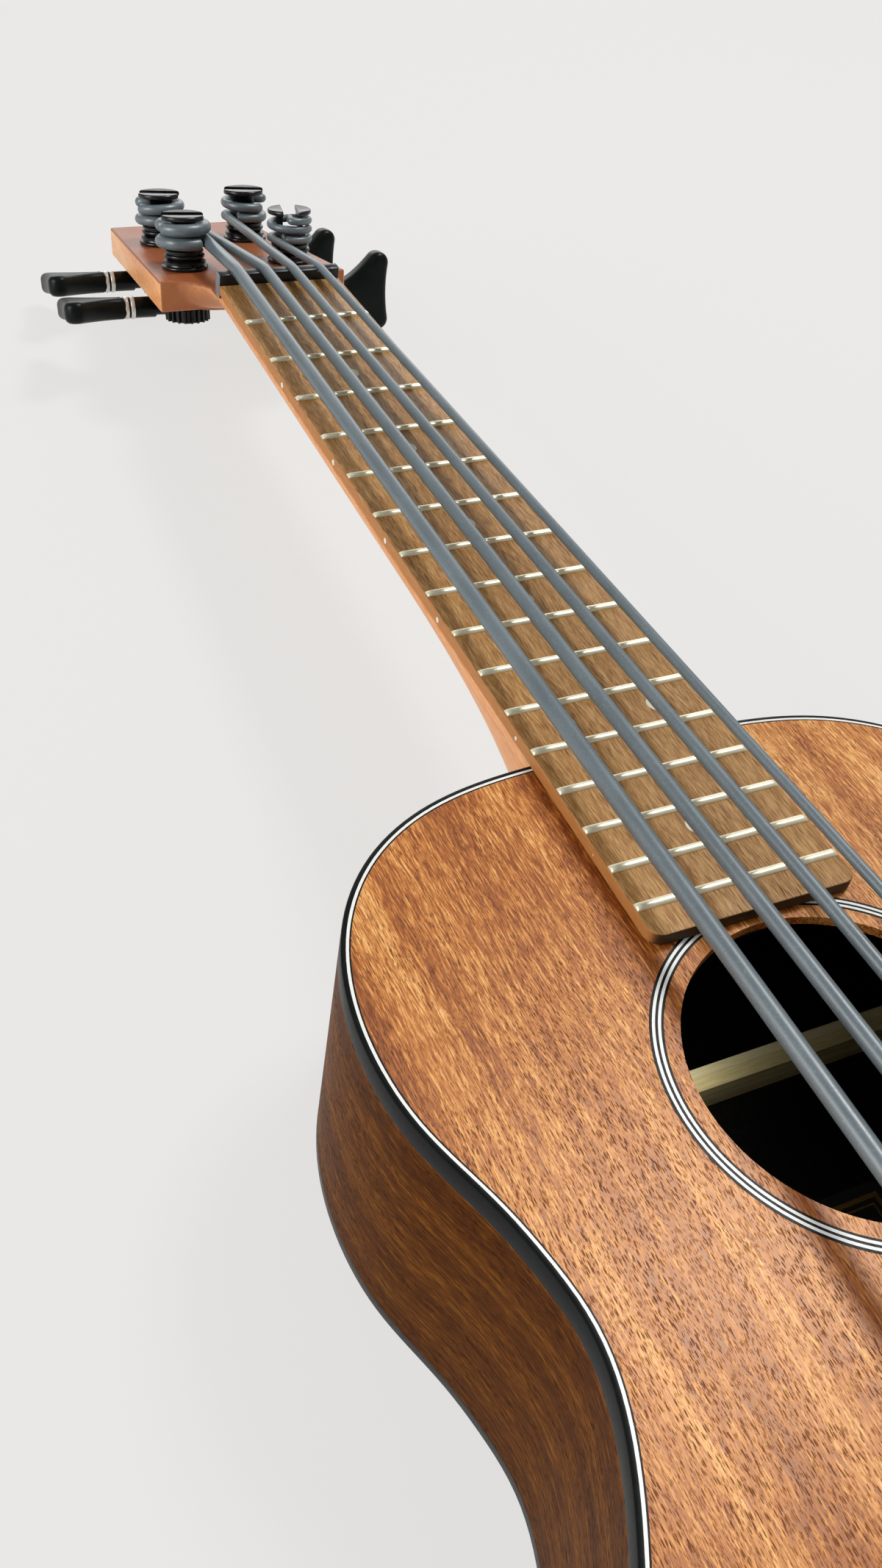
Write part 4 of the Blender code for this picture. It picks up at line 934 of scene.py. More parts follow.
def gathered(meshes: Sequence[Mesh]) -> Mesh:
    """Put several meshes into one.

    Args:
        meshes: The meshes, which are used up.

    Returns:
        The one mesh.
    """
    model = bmesh.new()
    for mesh in meshes:
        model.from_mesh(mesh)
        bpy.data.meshes.remove(mesh)
    mesh = bpy.data.meshes.new("mesh")
    model.to_mesh(mesh)
    model.free()
    return mesh


def box(low: Point, high: Point, move: Matrix) -> Mesh:
    """A box.

    Args:
        low: Its lowest corner.
        high: Its highest corner.
        move: Where the shape goes.

    Returns:
        The mesh.
    """
    (a, b, c), (d, e, f) = low, high
    return loft([[(a, b, c), (d, b, c), (d, e, c), (a, e, c)],
                 [(a, b, f), (d, b, f), (d, e, f), (a, e, f)]], move)


def bar(section: Sequence[tuple[float, float]], low: float, high: float,
        move: Matrix) -> Mesh:
    """A bar of one section of (y, z) points, from a low to a high place along X."""
    return loft([[(x, y, z) for y, z in section] for x in (low, high)], move)


def tube(points: Sequence[Point], radius: float, move: Matrix, sides: int = 20,
         end_ease: float = 0.3) -> Mesh:
    """A round cord along a path, with eased ends.

    Args:
        points: The path.
        radius: The cord's radius.
        move: Where the shape goes.
        sides: How many sides the cord has.
        end_ease: How much the ends are rounded, as a share of the radius.

    Returns:
        The mesh.
    """
    path = [Vector(point) for point in points]
    first, last = (path[1] - path[0]).normalized(), (path[-1] - path[-2]).normalized()
    ease = end_ease * radius
    path = [path[0], path[0] + first * ease] + path[1:-1] + [path[-1] - last * ease, path[-1]]
    normal = first.orthogonal().normalized()
    rings = []
    for i, centre in enumerate(path):
        ahead = (path[min(i + 1, len(path) - 1)] - path[max(i - 1, 0)]).normalized()
        normal = (normal - ahead * normal.dot(ahead)).normalized()
        side = ahead.cross(normal)
        reach = radius * (1.0 - end_ease if i in (0, len(path) - 1) else 1.0)
        rings.append([centre + reach * (cos(angle) * normal + sin(angle) * side)
                      for angle in round_angles(sides)])
    return loft(rings, move)


def softened(points: Sequence[Point], reaches: Sequence[float], steps: int = 7) -> list[Vector]:
    """Round the corners of a path.

    Args:
        points: The path's corners.
        reaches: For each corner, how far from it the rounding starts; 0 keeps it sharp.
        steps: How many points each rounding has.

    Returns:
        The points of the rounded path.
    """
    path = [Vector(point) for point in points]
    made = [path[0]]
    for before, corner, after, reach in zip(path, path[1:], path[2:], reaches[1:]):
        if reach <= 0.0:
            made.append(corner)
            continue
        start = corner + (before - corner).normalized() * reach
        end = corner + (after - corner).normalized() * reach
        for i in range(steps + 1):
            t = i / steps
            made.append((1 - t) ** 2 * start + 2 * t * (1 - t) * corner + t ** 2 * end)
    made.append(path[-1])
    return made


class Workbench:
    """Links each piece, gives it its finish and fixes it to the body that it moves with."""

    def __init__(self) -> None:
        """Start with no materials."""
        self.log = logging.getLogger("bass_ukulele")
        self.materials: dict[str, bpy.types.Material] = {}
        self.dressed: set[str] = set()

    def material(self, finish: Finish) -> bpy.types.Material:
        """Give a finish's material, making it the first time.

        Args:
            finish: The finish.

        Returns:
            Its material.
        """
        if finish.name not in self.materials:
            self.materials[finish.name] = finish.material()
        return self.materials[finish.name]

    def _cover(self, mesh: Mesh, finish: Finish, sharp: float) -> None:
        """Give a mesh its material and its smooth shading.

        Args:
            mesh: The mesh.
            finish: Its finish.
            sharp: Edges with a larger angle, in degrees, stay sharp.
        """
        mesh.materials.clear()
        mesh.materials.append(self.material(finish))
        mesh.shade_smooth()
        mesh.set_sharp_from_angle(angle=radians(sharp))

    def place(self, name: str, mesh: Mesh, finish: Finish, slot: str,
              stands_for: Sequence[str] = (), body: str = "instrument",
              sharp: float = SHARP_ANGLE) -> bpy.types.Object:
        """Put a finished piece into the scene.

        Args:
            name: The piece's name.
            mesh: Its mesh, in place at rest.
            finish: Its finish.
            slot: The record's material slot that it belongs to; it is not used.
            stands_for: The solid nodes that it shows instead of.
            body: The body that it moves with.
            sharp: Edges with a larger angle, in degrees, stay sharp.

        Returns:
            The piece.
        """
        mesh.name = name
        piece = linked(name, mesh)
        self._cover(mesh, finish, sharp)
        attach(piece, body)
        if stands_for:
            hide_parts(*stands_for)
            self.dressed.update(stands_for)
        self.log.info("%s: %d faces on %s", name, len(mesh.polygons), body)
        return piece

    def dress(self, node: str, finish: Finish, edge: float = 0.0) -> None:
        """Give a solid node its finish and, if asked, eased edges.

        Args:
            node: The node's name.
            finish: Its finish.
            edge: Width of the eased edges, or 0 for none.
        """
        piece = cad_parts[node]
        self._cover(piece.data, finish, SHARP_ANGLE)
        if edge > 0.0:
            weld = piece.modifiers.new("weld", "WELD")
            weld.merge_threshold = WELD_REACH
            ease_edges(piece, edge)
        self.dressed.add(node)
        self.log.info("%s: solid dressed with %s", node, finish.name)


# Body

# The outline's points, each as a share of the width and of the length of its part of the body.
SHOULDER_CURVE = ((0.0, 0.0), (0.293, 0.010), (0.576, 0.077), (0.772, 0.230), (0.913, 0.474),
                  (0.985, 0.761), (1.0, 1.0))
WAIST_CURVE = (0.162, 0.284), (0.643, 0.597), (0.883, 0.803), (1.0, 1.0)
HIP_CURVE = (0.120, 0.168), (0.446, 0.359), (0.737, 0.543), (0.9375, 0.768), (1.0, 1.0)
TAIL_CURVE = (0.956, 0.371), (0.827, 0.69), (0.607, 0.889), (0.341, 0.976), (0.0, 1.0)
CURVE_STEPS = 40


@dataclass
class BodyShell:
    """Top, back, bent sides, bindings and the lines inlaid beside them."""

    bench: Workbench
    upper: float = 0.2048
    waist: float = 0.1742
    lower: float = 0.2636
    upper_station: float = 0.0704
    waist_station: float = 0.1374
    lower_station: float = 0.2840
    points: int = 360
    top_thickness: float = 0.0026
    wall: float = 0.0020
    binding_depth: float = 0.0060
    back_binding: float = 0.0036
    black_width: float = 0.00125
    white_width: float = 0.00070
    line_width: float = 0.00040
    soft: float = 0.0005
    lift: float = 0.0001
    hole_steps: int = 120
    loop: np.ndarray = field(init=False)

    def __post_init__(self) -> None:
        """Work out the outline once."""
        self.loop = self.outline()

    def outline(self) -> np.ndarray:
        """The body's outer outline, clockwise from the middle of the neck joint.

        Returns:
            The outline's evenly spaced (x, y) points.
        """
        upper, waist, lower = 0.5 * self.upper, 0.5 * self.waist, 0.5 * self.lower
        half = [(width * upper, part * self.upper_station) for width, part in SHOULDER_CURVE]
        for curve, near, far, start, end in (
                (WAIST_CURVE, upper, waist, self.upper_station, self.waist_station),
                (HIP_CURVE, waist, lower, self.waist_station, self.lower_station)):
            half += [(near + blend * (far - near), start + part * (end - start))
                     for blend, part in curve]
        half += [(width * lower, self.lower_station
                  + part * (LAYOUT.body_length - self.lower_station))
                 for width, part in TAIL_CURVE]
        mirrored = [(-x, s) for x, s in reversed(half[1:-1])]
        knots = np.array([(x, -LAYOUT.body_start - s) for x, s in half + mirrored])
        return self._even(self._smooth(knots))

    @staticmethod
    def _smooth(knots: np.ndarray) -> np.ndarray:
        """Pass a smooth closed curve through points.

        Args:
            knots: The (x, y) points.

        Returns:
            The curve's points, close together.
        """
        steps = np.linalg.norm(np.roll(knots, -1, axis=0) - knots, axis=1)
        size = len(knots)
        system, right = np.zeros((size, size)), np.zeros((size, 2))
        for i in range(size):
            before, after, j = steps[i - 1], steps[i], (i + 1) % size
            system[i, i - 1] += before
            system[i, i] += 2.0 * (before + after)
            system[i, j] += after
            right[i] = 6.0 * ((knots[j] - knots[i]) / after - (knots[i] - knots[i - 1]) / before)
        bend = np.linalg.solve(system, right)
        fine = []
        for i in range(size):
            j, width = (i + 1) % size, steps[i]
            for b in np.linspace(0.0, 1.0, CURVE_STEPS, endpoint=False):
                a = 1.0 - b
                curve = (a ** 3 - a) * bend[i] + (b ** 3 - b) * bend[j]
                fine.append(a * knots[i] + b * knots[j] + curve * width * width / 6.0)
        return np.array(fine)

    def _even(self, loop: np.ndarray) -> np.ndarray:
        """Space the outline's points evenly.

        Args:
            loop: The outline's points.

        Returns:
            As many points as the shell uses, evenly spaced.
        """
        closed = np.vstack([loop, loop[:1]])
        lengths = np.concatenate([[0.0], np.cumsum(np.linalg.norm(np.diff(closed, axis=0),
                                                                  axis=1))])
        wanted = np.linspace(0.0, lengths[-1], self.points, endpoint=False)
        return np.column_stack([np.interp(wanted, lengths, closed[:, k]) for k in (0, 1)])

    def inset(self, distance: float) -> np.ndarray:
        """The outline moved inwards.

        Args:
            distance: How far it moves.

        Returns:
            The new outline's points.
        """
        ahead = np.roll(self.loop, -1, axis=0) - np.roll(self.loop, 1, axis=0)
        inward = np.column_stack([ahead[:, 1], -ahead[:, 0]])
        inward /= np.linalg.norm(inward, axis=1)[:, None]
        return self.loop + inward * distance

    def sweep(self, section: Sequence[tuple[float, Height]],
              picks: Optional[Sequence[int]] = None) -> Mesh:
        """Carry a section round the outline.

        Args:
            section: Points as (inset, height); a height may follow the distance from the nut.
            picks: The outline points to use, or None for all of them, closed.

        Returns:
            The mesh, with its place along the bend stored for the grain.
        """
        chosen = list(range(self.points)) if picks is None else list(picks)
        sides = [self.inset(distance) for distance, _ in section]
        step = float(np.linalg.norm(self.loop[1] - self.loop[0]))
        rings, places = [], []
        for i in chosen:
            ring = []
            for loop, (distance, height) in zip(sides, section):
                x, y = loop[i]
                z = height(-y) if callable(height) else height
                ring.append((x, y, z))
                places.append((z, i * step, distance))
            rings.append(ring)
        mesh = loft(rings, INSTRUMENT, looped=picks is None)
        stored = mesh.attributes.new(BENT_PLACE, "FLOAT_VECTOR", "POINT")
        for entry, spot in zip(stored.data, places):
            entry.vector = spot
        return mesh

    def build(self) -> None:
        """Make and dress every piece of the shell."""
        self._top()
        self._sides()
        self._bindings()
        self.bench.dress("back_plate", BACK_WOOD)

    def _top(self) -> None:
        """The top with its soundhole."""
        inner = self.black_width + self.white_width + self.line_width
        hole = []
        for angle in round_angles(self.hole_steps):
            x, y = polar(LAYOUT.soundhole_radius, angle)
            hole.append((x, y - LAYOUT.soundhole_station))
        mesh = slab(self.inset(inner), LAYOUT.top_plane - self.top_thickness, LAYOUT.top_plane,
                    INSTRUMENT, holes=[hole])
        self.bench.place("top_plate", mesh, TOP_WOOD, "mahogany_top", ["soundboard"])

    def _sides(self) -> None:
        """The two bent sides."""
        low, high = self._over_back(self.back_binding), LAYOUT.top_plane - self.binding_depth
        section = [(0.0, low), (0.0, high), (self.wall, high), (self.wall, low)]
        half = self.points // 2
        for side, picks in ((Side.TREBLE, range(half + 1)),
                            (Side.BASS, (*range(half, self.points), 0))):
            name = side.name.lower()
            self.bench.place(f"bent_side_{name}", self.sweep(section, picks), SIDE_WOOD,
                             "mahogany_sides", [f"side_{name}"])

    @staticmethod
    def _over_back(lift: float) -> Callable[[float], float]:
        """A height over the back's outer face, which follows the distance from the nut."""
        return lambda distance: LAYOUT.back_plane(distance) + lift

    def _bindings(self) -> None:
        """The black binding strips and the fine lines beside the top one."""
        top, low, soft = LAYOUT.top_plane, LAYOUT.top_plane - self.binding_depth, self.soft
        black, white = self.black_width, self.black_width + self.white_width
        line = white + self.line_width
        base, crest = self._over_back(self.lift), self._over_back(self.back_binding)
        strips = (
            ("binding_strip_top", BINDING_BLACK, ["binding_top"],
             [(0.0, low), (0.0, top - soft), (0.3 * soft, top - 0.3 * soft), (soft, top),
              (black, top), (black, low)]),
            ("purfling_white", INLAY_WHITE, [],
             [(black, low), (black, top), (white, top), (white, low)]),
            ("purfling_black", BINDING_BLACK, [],
             [(white, low), (white, top), (line, top), (line, low)]),
            ("binding_strip_back", BINDING_BLACK, ["binding_back"],
             [(soft, base), (0.3 * soft, self._over_back(self.lift + 0.3 * soft)),
              (0.0, self._over_back(self.lift + soft)), (0.0, crest), (self.wall, crest),
              (self.wall, base)]))
        for name, finish, nodes, section in strips:
            self.bench.place(name, self.sweep(section), finish, "black_binding", nodes)


@dataclass
class SoundholeTrim:
    """The rings inlaid round the soundhole and the label seen through it."""

    bench: Workbench
    rings: tuple[tuple[float, float, bool], ...] = (
        (0.04395, 0.04455, False), (0.04455, 0.04525, True), (0.04525, 0.04590, False),
        (0.04590, 0.04660, True), (0.04660, 0.04725, False))
    lift: float = 0.00004
    label_half: tuple[float, float] = (0.036, 0.026)
    label_station: float = 0.395
    label_x: float = 0.004
    label_corner: float = 0.004
    label_steps: int = 6
    label_depth: tuple[float, float] = (0.0001, 0.0003)
    back_thickness: float = 0.0026
    rooted: float = 0.0004
    ring_steps: int = 160

    def build(self) -> None:
        """Make the inlaid rings and the label."""
        centre = INSTRUMENT @ Matrix.Translation((0.0, -LAYOUT.soundhole_station,
                                                  LAYOUT.top_plane))
        for number, (inner, outer, white) in enumerate(self.rings, start=1):
            high = self.lift * (1.5 if white else 1.0)
            mesh = turned([(inner, -self.rooted), (inner, high), (outer, high),
                           (outer, -self.rooted)], centre, self.ring_steps, looped=True)
            finish = INLAY_WHITE if white else BINDING_BLACK
            self.bench.place(f"rosette_ring_{number}", mesh, finish, "black_binding")
        self._label()

    def _label(self) -> None:
        """A plain bordered label glued inside the back."""
        inside = LAYOUT.back_plane(self.label_station) + self.back_thickness
        place = INSTRUMENT @ Vector((self.label_x, -self.label_station, inside))
        finish = LabelFinish("plain_label", *tones("0e0d0c a8863e"),
                             (place.x, place.y), self.label_half)
        reach, rise = (half - self.label_corner for half in self.label_half)
        outline = []
        for right, up, turn in ((1, 1, 0), (-1, 1, 90), (-1, -1, 180), (1, -1, 270)):
            for i in range(self.label_steps + 1):
                x, y = polar(self.label_corner, radians(turn + 90.0 * i / self.label_steps))
                outline.append((right * reach + x, up * rise + y))
        mesh = slab(outline, *self.label_depth, Matrix.Translation(place))
        self.bench.place("inner_label", mesh, finish, "black_binding")


@dataclass
class InnerFrame:
    """Blocks, linings and braces inside the body."""

    bench: Workbench
    hidden: tuple[str, ...] = ("neck_block", "tail_block", "lining_top", "lining_back",
                               "top_brace_upper", "top_brace_lower")

    def build(self) -> None:
        """Shape the brace that shows through the soundhole and dress the hidden solids."""
        self._brace()
        self.bench.dress("back_brace_lower", BARE_WOOD, 0.0006)
        # The hidden solids get near-black wood, which is painted shade inside the body.
        for name in self.hidden:
            self.bench.dress(name, PAINTED_SHADE_WOOD)
        self.bench.dress("bridge_plate", BRIDGE_WOOD)

    def _brace(self) -> None:
        """The upper back brace, with eased top edges and its rear side planed to a slope."""
        low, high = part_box("back_brace_upper")
        ease, slope = 0.0006, 0.0024
        section = [(low.y, low.z), (low.y, high.z - ease), (low.y + ease, high.z),
                   (high.y - slope - ease, high.z), (high.y - slope, high.z - 2.0 * ease),
                   (high.y, low.z)]
        mesh = bar(section, low.x, high.x, Matrix.Identity(4))
        self.bench.place("shaped_brace", mesh, BARE_WOOD, "spruce", ["back_brace_upper"])


@dataclass
class Bridge:
    """Bridge and saddle."""

    bench: Workbench

    def build(self) -> None:
        """Dress the bridge and the saddle with eased edges."""
        self.bench.dress("bridge", BRIDGE_WOOD, 0.0006)
        self.bench.dress("saddle", SADDLE_BONE, 0.0003)


# Neck

@dataclass
class Neck:
    """Neck, heel and headstock, carved from one blank."""

    bench: Workbench
    depth_nut: float = 0.0160
    depth_heel: float = 0.0180
    rounding: float = 1.70
    heel_start: float = 0.0880
    heel_drop: float = 0.0680
    heel_share: float = 0.94
    thickness: float = 0.0118
    length: float = 0.1265
    shoulder: float = 0.0235
    width_front: float = 0.0774
    width_tip: float = 0.0626
    cove: float = 0.0140
    squareness: float = 6.0
    nut_depth: float = 0.0009
    steps: int = 36
    edge: float = 0.0009
    inside: float = 0.002
    shoulder_rings: int = 15
    straight_rings: int = 8
    heel_rings: int = 24
    heel_fill: float = 0.955
    fullest: float = 0.999
    cutter_reach: float = 0.02
    cutter_half: float = 0.08
    bore: tuple[float, float, float] = (0.0071, -0.0083, 0.01)

    def section(self, distance: float, half: float, depth: float,
                rounding: float) -> list[tuple[float, float, float]]:
        """One cross-section: flat on top, a rounded curve below.

        Args:
            distance: Distance from the nut.
            half: Half its width.
            depth: Its depth below the top.
            rounding: How square the curve is.

        Returns:
            The section's points.
        """
        share = 2.0 / rounding
        return [(half * copysign(abs(cos(angle)) ** share, cos(angle)), -distance,
                 LAYOUT.top_plane - depth * sin(angle) ** share)
                for angle in arc_angles(self.steps)]

    def shoulder_section(self, along: float) -> list[tuple[float, float, float]]:
        """A section where the neck spreads into the headstock, this far behind the nut.

        Args:
            along: Distance behind the nut.

        Returns:
            The section's points.
        """
        into = min(max(along - (self.shoulder - self.cove), 0.0), 0.99 * self.cove)
        spread = self.cove - sqrt(self.cove ** 2 - into ** 2)
        half = min(LAYOUT.board_half_width(0.0) + spread, 0.5 * self.width_front - 0.001)
        depth = (LAYOUT.head_drop + LAYOUT.top_plane + along * tan(LAYOUT.head_tilt)
                 + self.thickness)
        square = self.rounding + self.squareness * (into / self.cove) ** 2
        return self.section(-LAYOUT.nut_thickness - along, half, max(self.depth_nut, depth),
                            square)

    def shaft(self) -> Mesh:
        """The neck from inside the headstock to the bottom of the heel.

        Returns:
            The mesh.
        """
        rings = [self.shoulder_section(self.shoulder + self.inside)]
        for i in range(self.shoulder_rings):
            rings.append(self.shoulder_section(self.shoulder * (1.0 - i / self.shoulder_rings)))
        rings.append(self.section(0.0, LAYOUT.board_half_width(0.0), self.depth_nut,
                                  self.rounding))
        length = LAYOUT.body_start - LAYOUT.seat
        straight = length - self.heel_start
        for i in range(1, self.straight_rings + 1):
            part = i / self.straight_rings
            distance = part * straight
            depth = self.depth_nut + part * (self.depth_heel - self.depth_nut)
            rings.append(self.section(distance, LAYOUT.board_half_width(distance), depth,
                                      self.rounding))
        for i in range(1, self.heel_rings + 1):
            part = i / self.heel_rings
            curve = 1.0 - sqrt(1.0 - min(self.fullest, part) ** 2)
            drop = (self.heel_drop - self.depth_heel) / self.heel_fill
            depth = self.depth_heel + curve * drop
            distance = straight + part * self.heel_start
            half = LAYOUT.board_half_width(distance) * (1.0 - (1.0 - self.heel_share) * curve)
            rings.append(self.section(distance, half, min(depth, self.heel_drop), self.rounding))
        return loft(rings)

    def build(self) -> None:
        """Carve the neck: spread the headstock, cut its face and the nut's seat, and drill it."""
        side = [(0.5 * self.width_front, self.shoulder), (0.5 * self.width_tip, self.length)]
        outline = side + [(-x, y) for x, y in reversed(side)]
        mesh = combined(self.shaft(), slab(outline, -self.thickness, 0.001, HEAD), "UNION")
        above = self.cutter_reach
        far = LAYOUT.nut_thickness + self.length + above
        fall = (far - LAYOUT.nut_thickness) * tan(LAYOUT.head_tilt)
        low = LAYOUT.top_plane - self.nut_depth - LAYOUT.seat
        section = [(-LAYOUT.seat, low), (LAYOUT.nut_thickness, low),
                   (LAYOUT.nut_thickness, -LAYOUT.head_drop), (far, -LAYOUT.head_drop - fall),
                   (far, above), (-LAYOUT.seat, above)]
        cutter = bar(section, -self.cutter_half, self.cutter_half, INSTRUMENT)
        mesh = combined(mesh, cutter, "DIFFERENCE")
        mesh = eased(mesh, self.edge, 40.0, 3)
        radius, bottom, top = self.bore
        for x, y in LAYOUT.post_places():
            drill = turned([(radius, bottom), (radius, top)],
                           HEAD @ Matrix.Translation((x, y, 0.0)))
            mesh = combined(mesh, drill, "DIFFERENCE")
        self.bench.place("carved_neck", mesh, NECK_WOOD, "neck_wood", ["neck"], sharp=50.0)


@dataclass
class Fingerboard:
    """Fingerboard with its frets and position dots."""

    bench: Workbench
    corner: float = 0.0040
    edge: float = 0.0004
    crown_width: float = 0.0024
    crown_height: float = 0.00075
    inset: float = 0.0003
    dot_radius: float = 0.0030
    side_dot_radius: float = 0.0010
    dot_frets: tuple[int, ...] = (3, 5, 7, 9, 12, 15)
    double_reach: float = 0.0144
    double_fret: int = 12
    corner_steps: int = 8
    crown_steps: int = 8
    rooted: float = 0.0009
    end_slope: tuple[tuple[float, float], ...] = ((0.0, 0.15), (0.0004, 0.62), (0.0010, 0.92),
                                                  (0.0016, 1.0))

    def build(self) -> None:
        """Make the board, the frets and the dots."""
        self._board()
        for number in range(1, LAYOUT.fret_count + 1):
            self._fret(number)
        for number in self.dot_frets:
            self._dots(number)

    def _board(self) -> None:
        """The tapered board with rounded corners at its body end."""
        start = LAYOUT.board_half_width(0.0)
        end = LAYOUT.board_half_width(LAYOUT.board_length)
        side = [(start, 0.0)]
        for angle in arc_angles(self.corner_steps, 0.5 * pi):
            x, y = polar(self.corner, angle)
            side.append((end - self.corner + x, -LAYOUT.board_length + self.corner - y))
        outline = side + [(-x, y) for x, y in reversed(side)]
        mesh = slab(outline, LAYOUT.top_plane + LAYOUT.seat, 0.0, INSTRUMENT, self.edge, 3)
        self.bench.place("board_plank", mesh, BOARD_WOOD, "walnut_board", ["fingerboard"],
                         sharp=50.0)

    def _fret(self, number: int) -> None:
        """One fret wire: a domed crown whose ends slope down to the board's edge.

        Args:
            number: The fret's number, from the nut.
        """
        distance = LAYOUT.fret_distance(number)
        reach = LAYOUT.board_half_width(distance) - self.inset
        half = 0.5 * self.crown_width
        stations = [(off - reach, share) for off, share in self.end_slope]
        stations += [(-x, share) for x, share in reversed(stations)]
        rings = []
        for x, share in stations:
            ring = [(x, -distance + 0.9 * half, -self.rooted),
                    (x, -distance - 0.9 * half, -self.rooted)]
            for angle in arc_angles(self.crown_steps):
                ring.append((x, -distance - half * cos(angle),
                             0.0001 + share * (self.crown_height + 0.0002) * sin(angle)))
            rings.append(ring)
        self.bench.place(f"fret_wire_{number:02d}", loft(rings), FRET_METAL, "fret_metal",
                         [f"fret_{number:02d}"], sharp=60.0)

    def _dots(self, number: int) -> None:
        """Position dots between a fret and the one before it, on the face and on the edge.

        Args:
            number: The fret's number, from the nut.
        """
        distance = 0.5 * (LAYOUT.fret_distance(number) + LAYOUT.fret_distance(number - 1))
        double = number == self.double_fret
        for count, x in enumerate((-self.double_reach, self.double_reach) if double else (0.0,)):
            self._dot(f"face_dot_{number}_{count}", self.dot_radius, 32,
                      [-0.0008, 0.00002, 0.00005], Matrix.Translation((x, -distance, 0.0)))
        edge = LAYOUT.board_half_width(distance)
        self._dot(f"side_dot_{number}", self.side_dot_radius, 24, [-0.0006, 0.00003, 0.00006],
                  Matrix.Translation((-edge, -distance, 0.5 * LAYOUT.top_plane))
                  @ Matrix.Rotation(radians(-90.0), 4, "Y"))

    def _dot(self, name: str, radius: float, steps: int, levels: Sequence[float],
             place: Matrix) -> None:
        """One dot.

        Args:
            name: The piece's name.
            radius: Its radius.
            steps: How many sides it has.
            levels: Heights of its root, its rim and its crest.
            place: Where it is in the instrument's frame.
        """
        low, rim, crest = levels
        mesh = turned([(radius, low), (radius, rim), (0.6 * radius, crest)], INSTRUMENT @ place,
                      steps)
        self.bench.place(name, mesh, DOT_PEARL, "saddle_white")


# Strings and tuning machines

@dataclass(frozen=True)
class MachineSizes:
    """Sizes that the posts, the keys and the strings' turns share."""

    post_height: float = 0.0206
    shaft: float = 0.0048
    waist: float = 0.0054
    flange: float = 0.0088
    flange_thickness: float = 0.0019
    collar: float = 0.0080
    collar_height: float = 0.0034
    bushing_height: float = 0.0042
    bushing: float = 0.0092
    bushing_barrel: float = 0.0068
    bushing_depth: float = 0.0080
    slot_depth: float = 0.0080
    running: float = 0.0003
    slack: float = 0.0008
    turns: tuple[float, ...] = (5.5, 4.0, 5.5, 1.0)
    slot_angles: tuple[float, ...] = (165.0, 160.0, 340.0, 255.0)
    gear_teeth: int = 20
    gear_tip: float = 0.0090
    gear_root: float = 0.0077
    gear_thickness: float = 0.0050
    worm_level: float = -0.0174
    worm_distance: float = 0.0118
    worm: float = 0.0035
    worm_core: float = 0.0023
    worm_half: float = 0.0046
    lug_thickness: float = 0.0022
    plate_half: float = 0.0105

    @property
    def collar_top(self) -> float:
        """Height of the post's lower collar above the headstock's face."""
        return self.bushing_height + self.running + self.collar_height

    @property
    def flange_bottom(self) -> float:
        """Height of the underside of the post's top flange."""
        return self.post_height - self.flange_thickness

    def circle(self, index: int) -> float:
        """Radius of the circle that a string's middle follows round its post."""
        return self.waist + LAYOUT.string_radii[index] + self.slack

    def first_level(self, index: int) -> float:
        """Height of the first turn's middle above the headstock's face."""
        return self.collar_top + LAYOUT.string_radii[index] + 0.5 * self.running

    def last_level(self, index: int) -> float:
        """Height of the last turn's middle, under the top flange."""
        return self.flange_bottom - LAYOUT.string_radii[index] - 0.5 * self.running

    def wrap(self, index: int) -> float:
        """1 where the string wraps anticlockwise seen from above, -1 where clockwise."""
        return 1.0 if LAYOUT.post_places()[index][0] < 0.0 else -1.0

    def machine(self, index: int) -> Matrix:
        """The frame of one machine, on its post's axis.

        Args:
            index: The string's number, from 0.

        Returns:
            The frame, with X to the key's side on a treble machine.
        """
        x, y = LAYOUT.post_places()[index]
        turn = copysign(radians(self.turns[index]), x)
        return HEAD @ Matrix.Translation((x, y, 0.0)) @ Matrix.Rotation(turn, 4, "Z")


SIZES = MachineSizes()

# Points of the turned metal pieces: how far inside the rim, and how far above a face.
BUSHING_RIBS = ((0.0003, 0.0), (0.0, 0.0003), (0.0, 0.0009), (0.0003, 0.0012), (0.0011, 0.0014),
                (0.0013, 0.0019), (0.0008, 0.0022), (0.0008, 0.0028), (0.0012, 0.0031))
BUSHING_CREST = ((0.0021, -0.0003), (0.0024, 0.0))
COLLAR_RIBS = ((0.0003, 0.0), (0.0, 0.0003), (0.0, 0.0010), (0.0003, 0.0013), (0.0010, 0.0015),
               (0.0010, 0.0019), (0.0004, 0.0022), (0.0004, 0.0028), (0.0010, 0.0032),
               (0.0016, 0.0034))
STEM_FOOT = ((0.0006, -0.0014), (0.0002, -0.0011), (0.0, -0.0005))
FLANGE_UNDERSIDE = ((0.0005, 0.0), (0.0001, 0.0003), (0.0, 0.0007))
FLANGE_CREST = ((0.0, -0.0006), (0.0002, -0.0002), (0.0006, 0.0))


def ribbed(rim: float, level: float, points: Sequence[tuple[float, float]]) -> list[Point]:
    """Part of a turned profile, from its points' distances inside a rim and above a level."""
    return [(rim - inward, level + up) for inward, up in points]


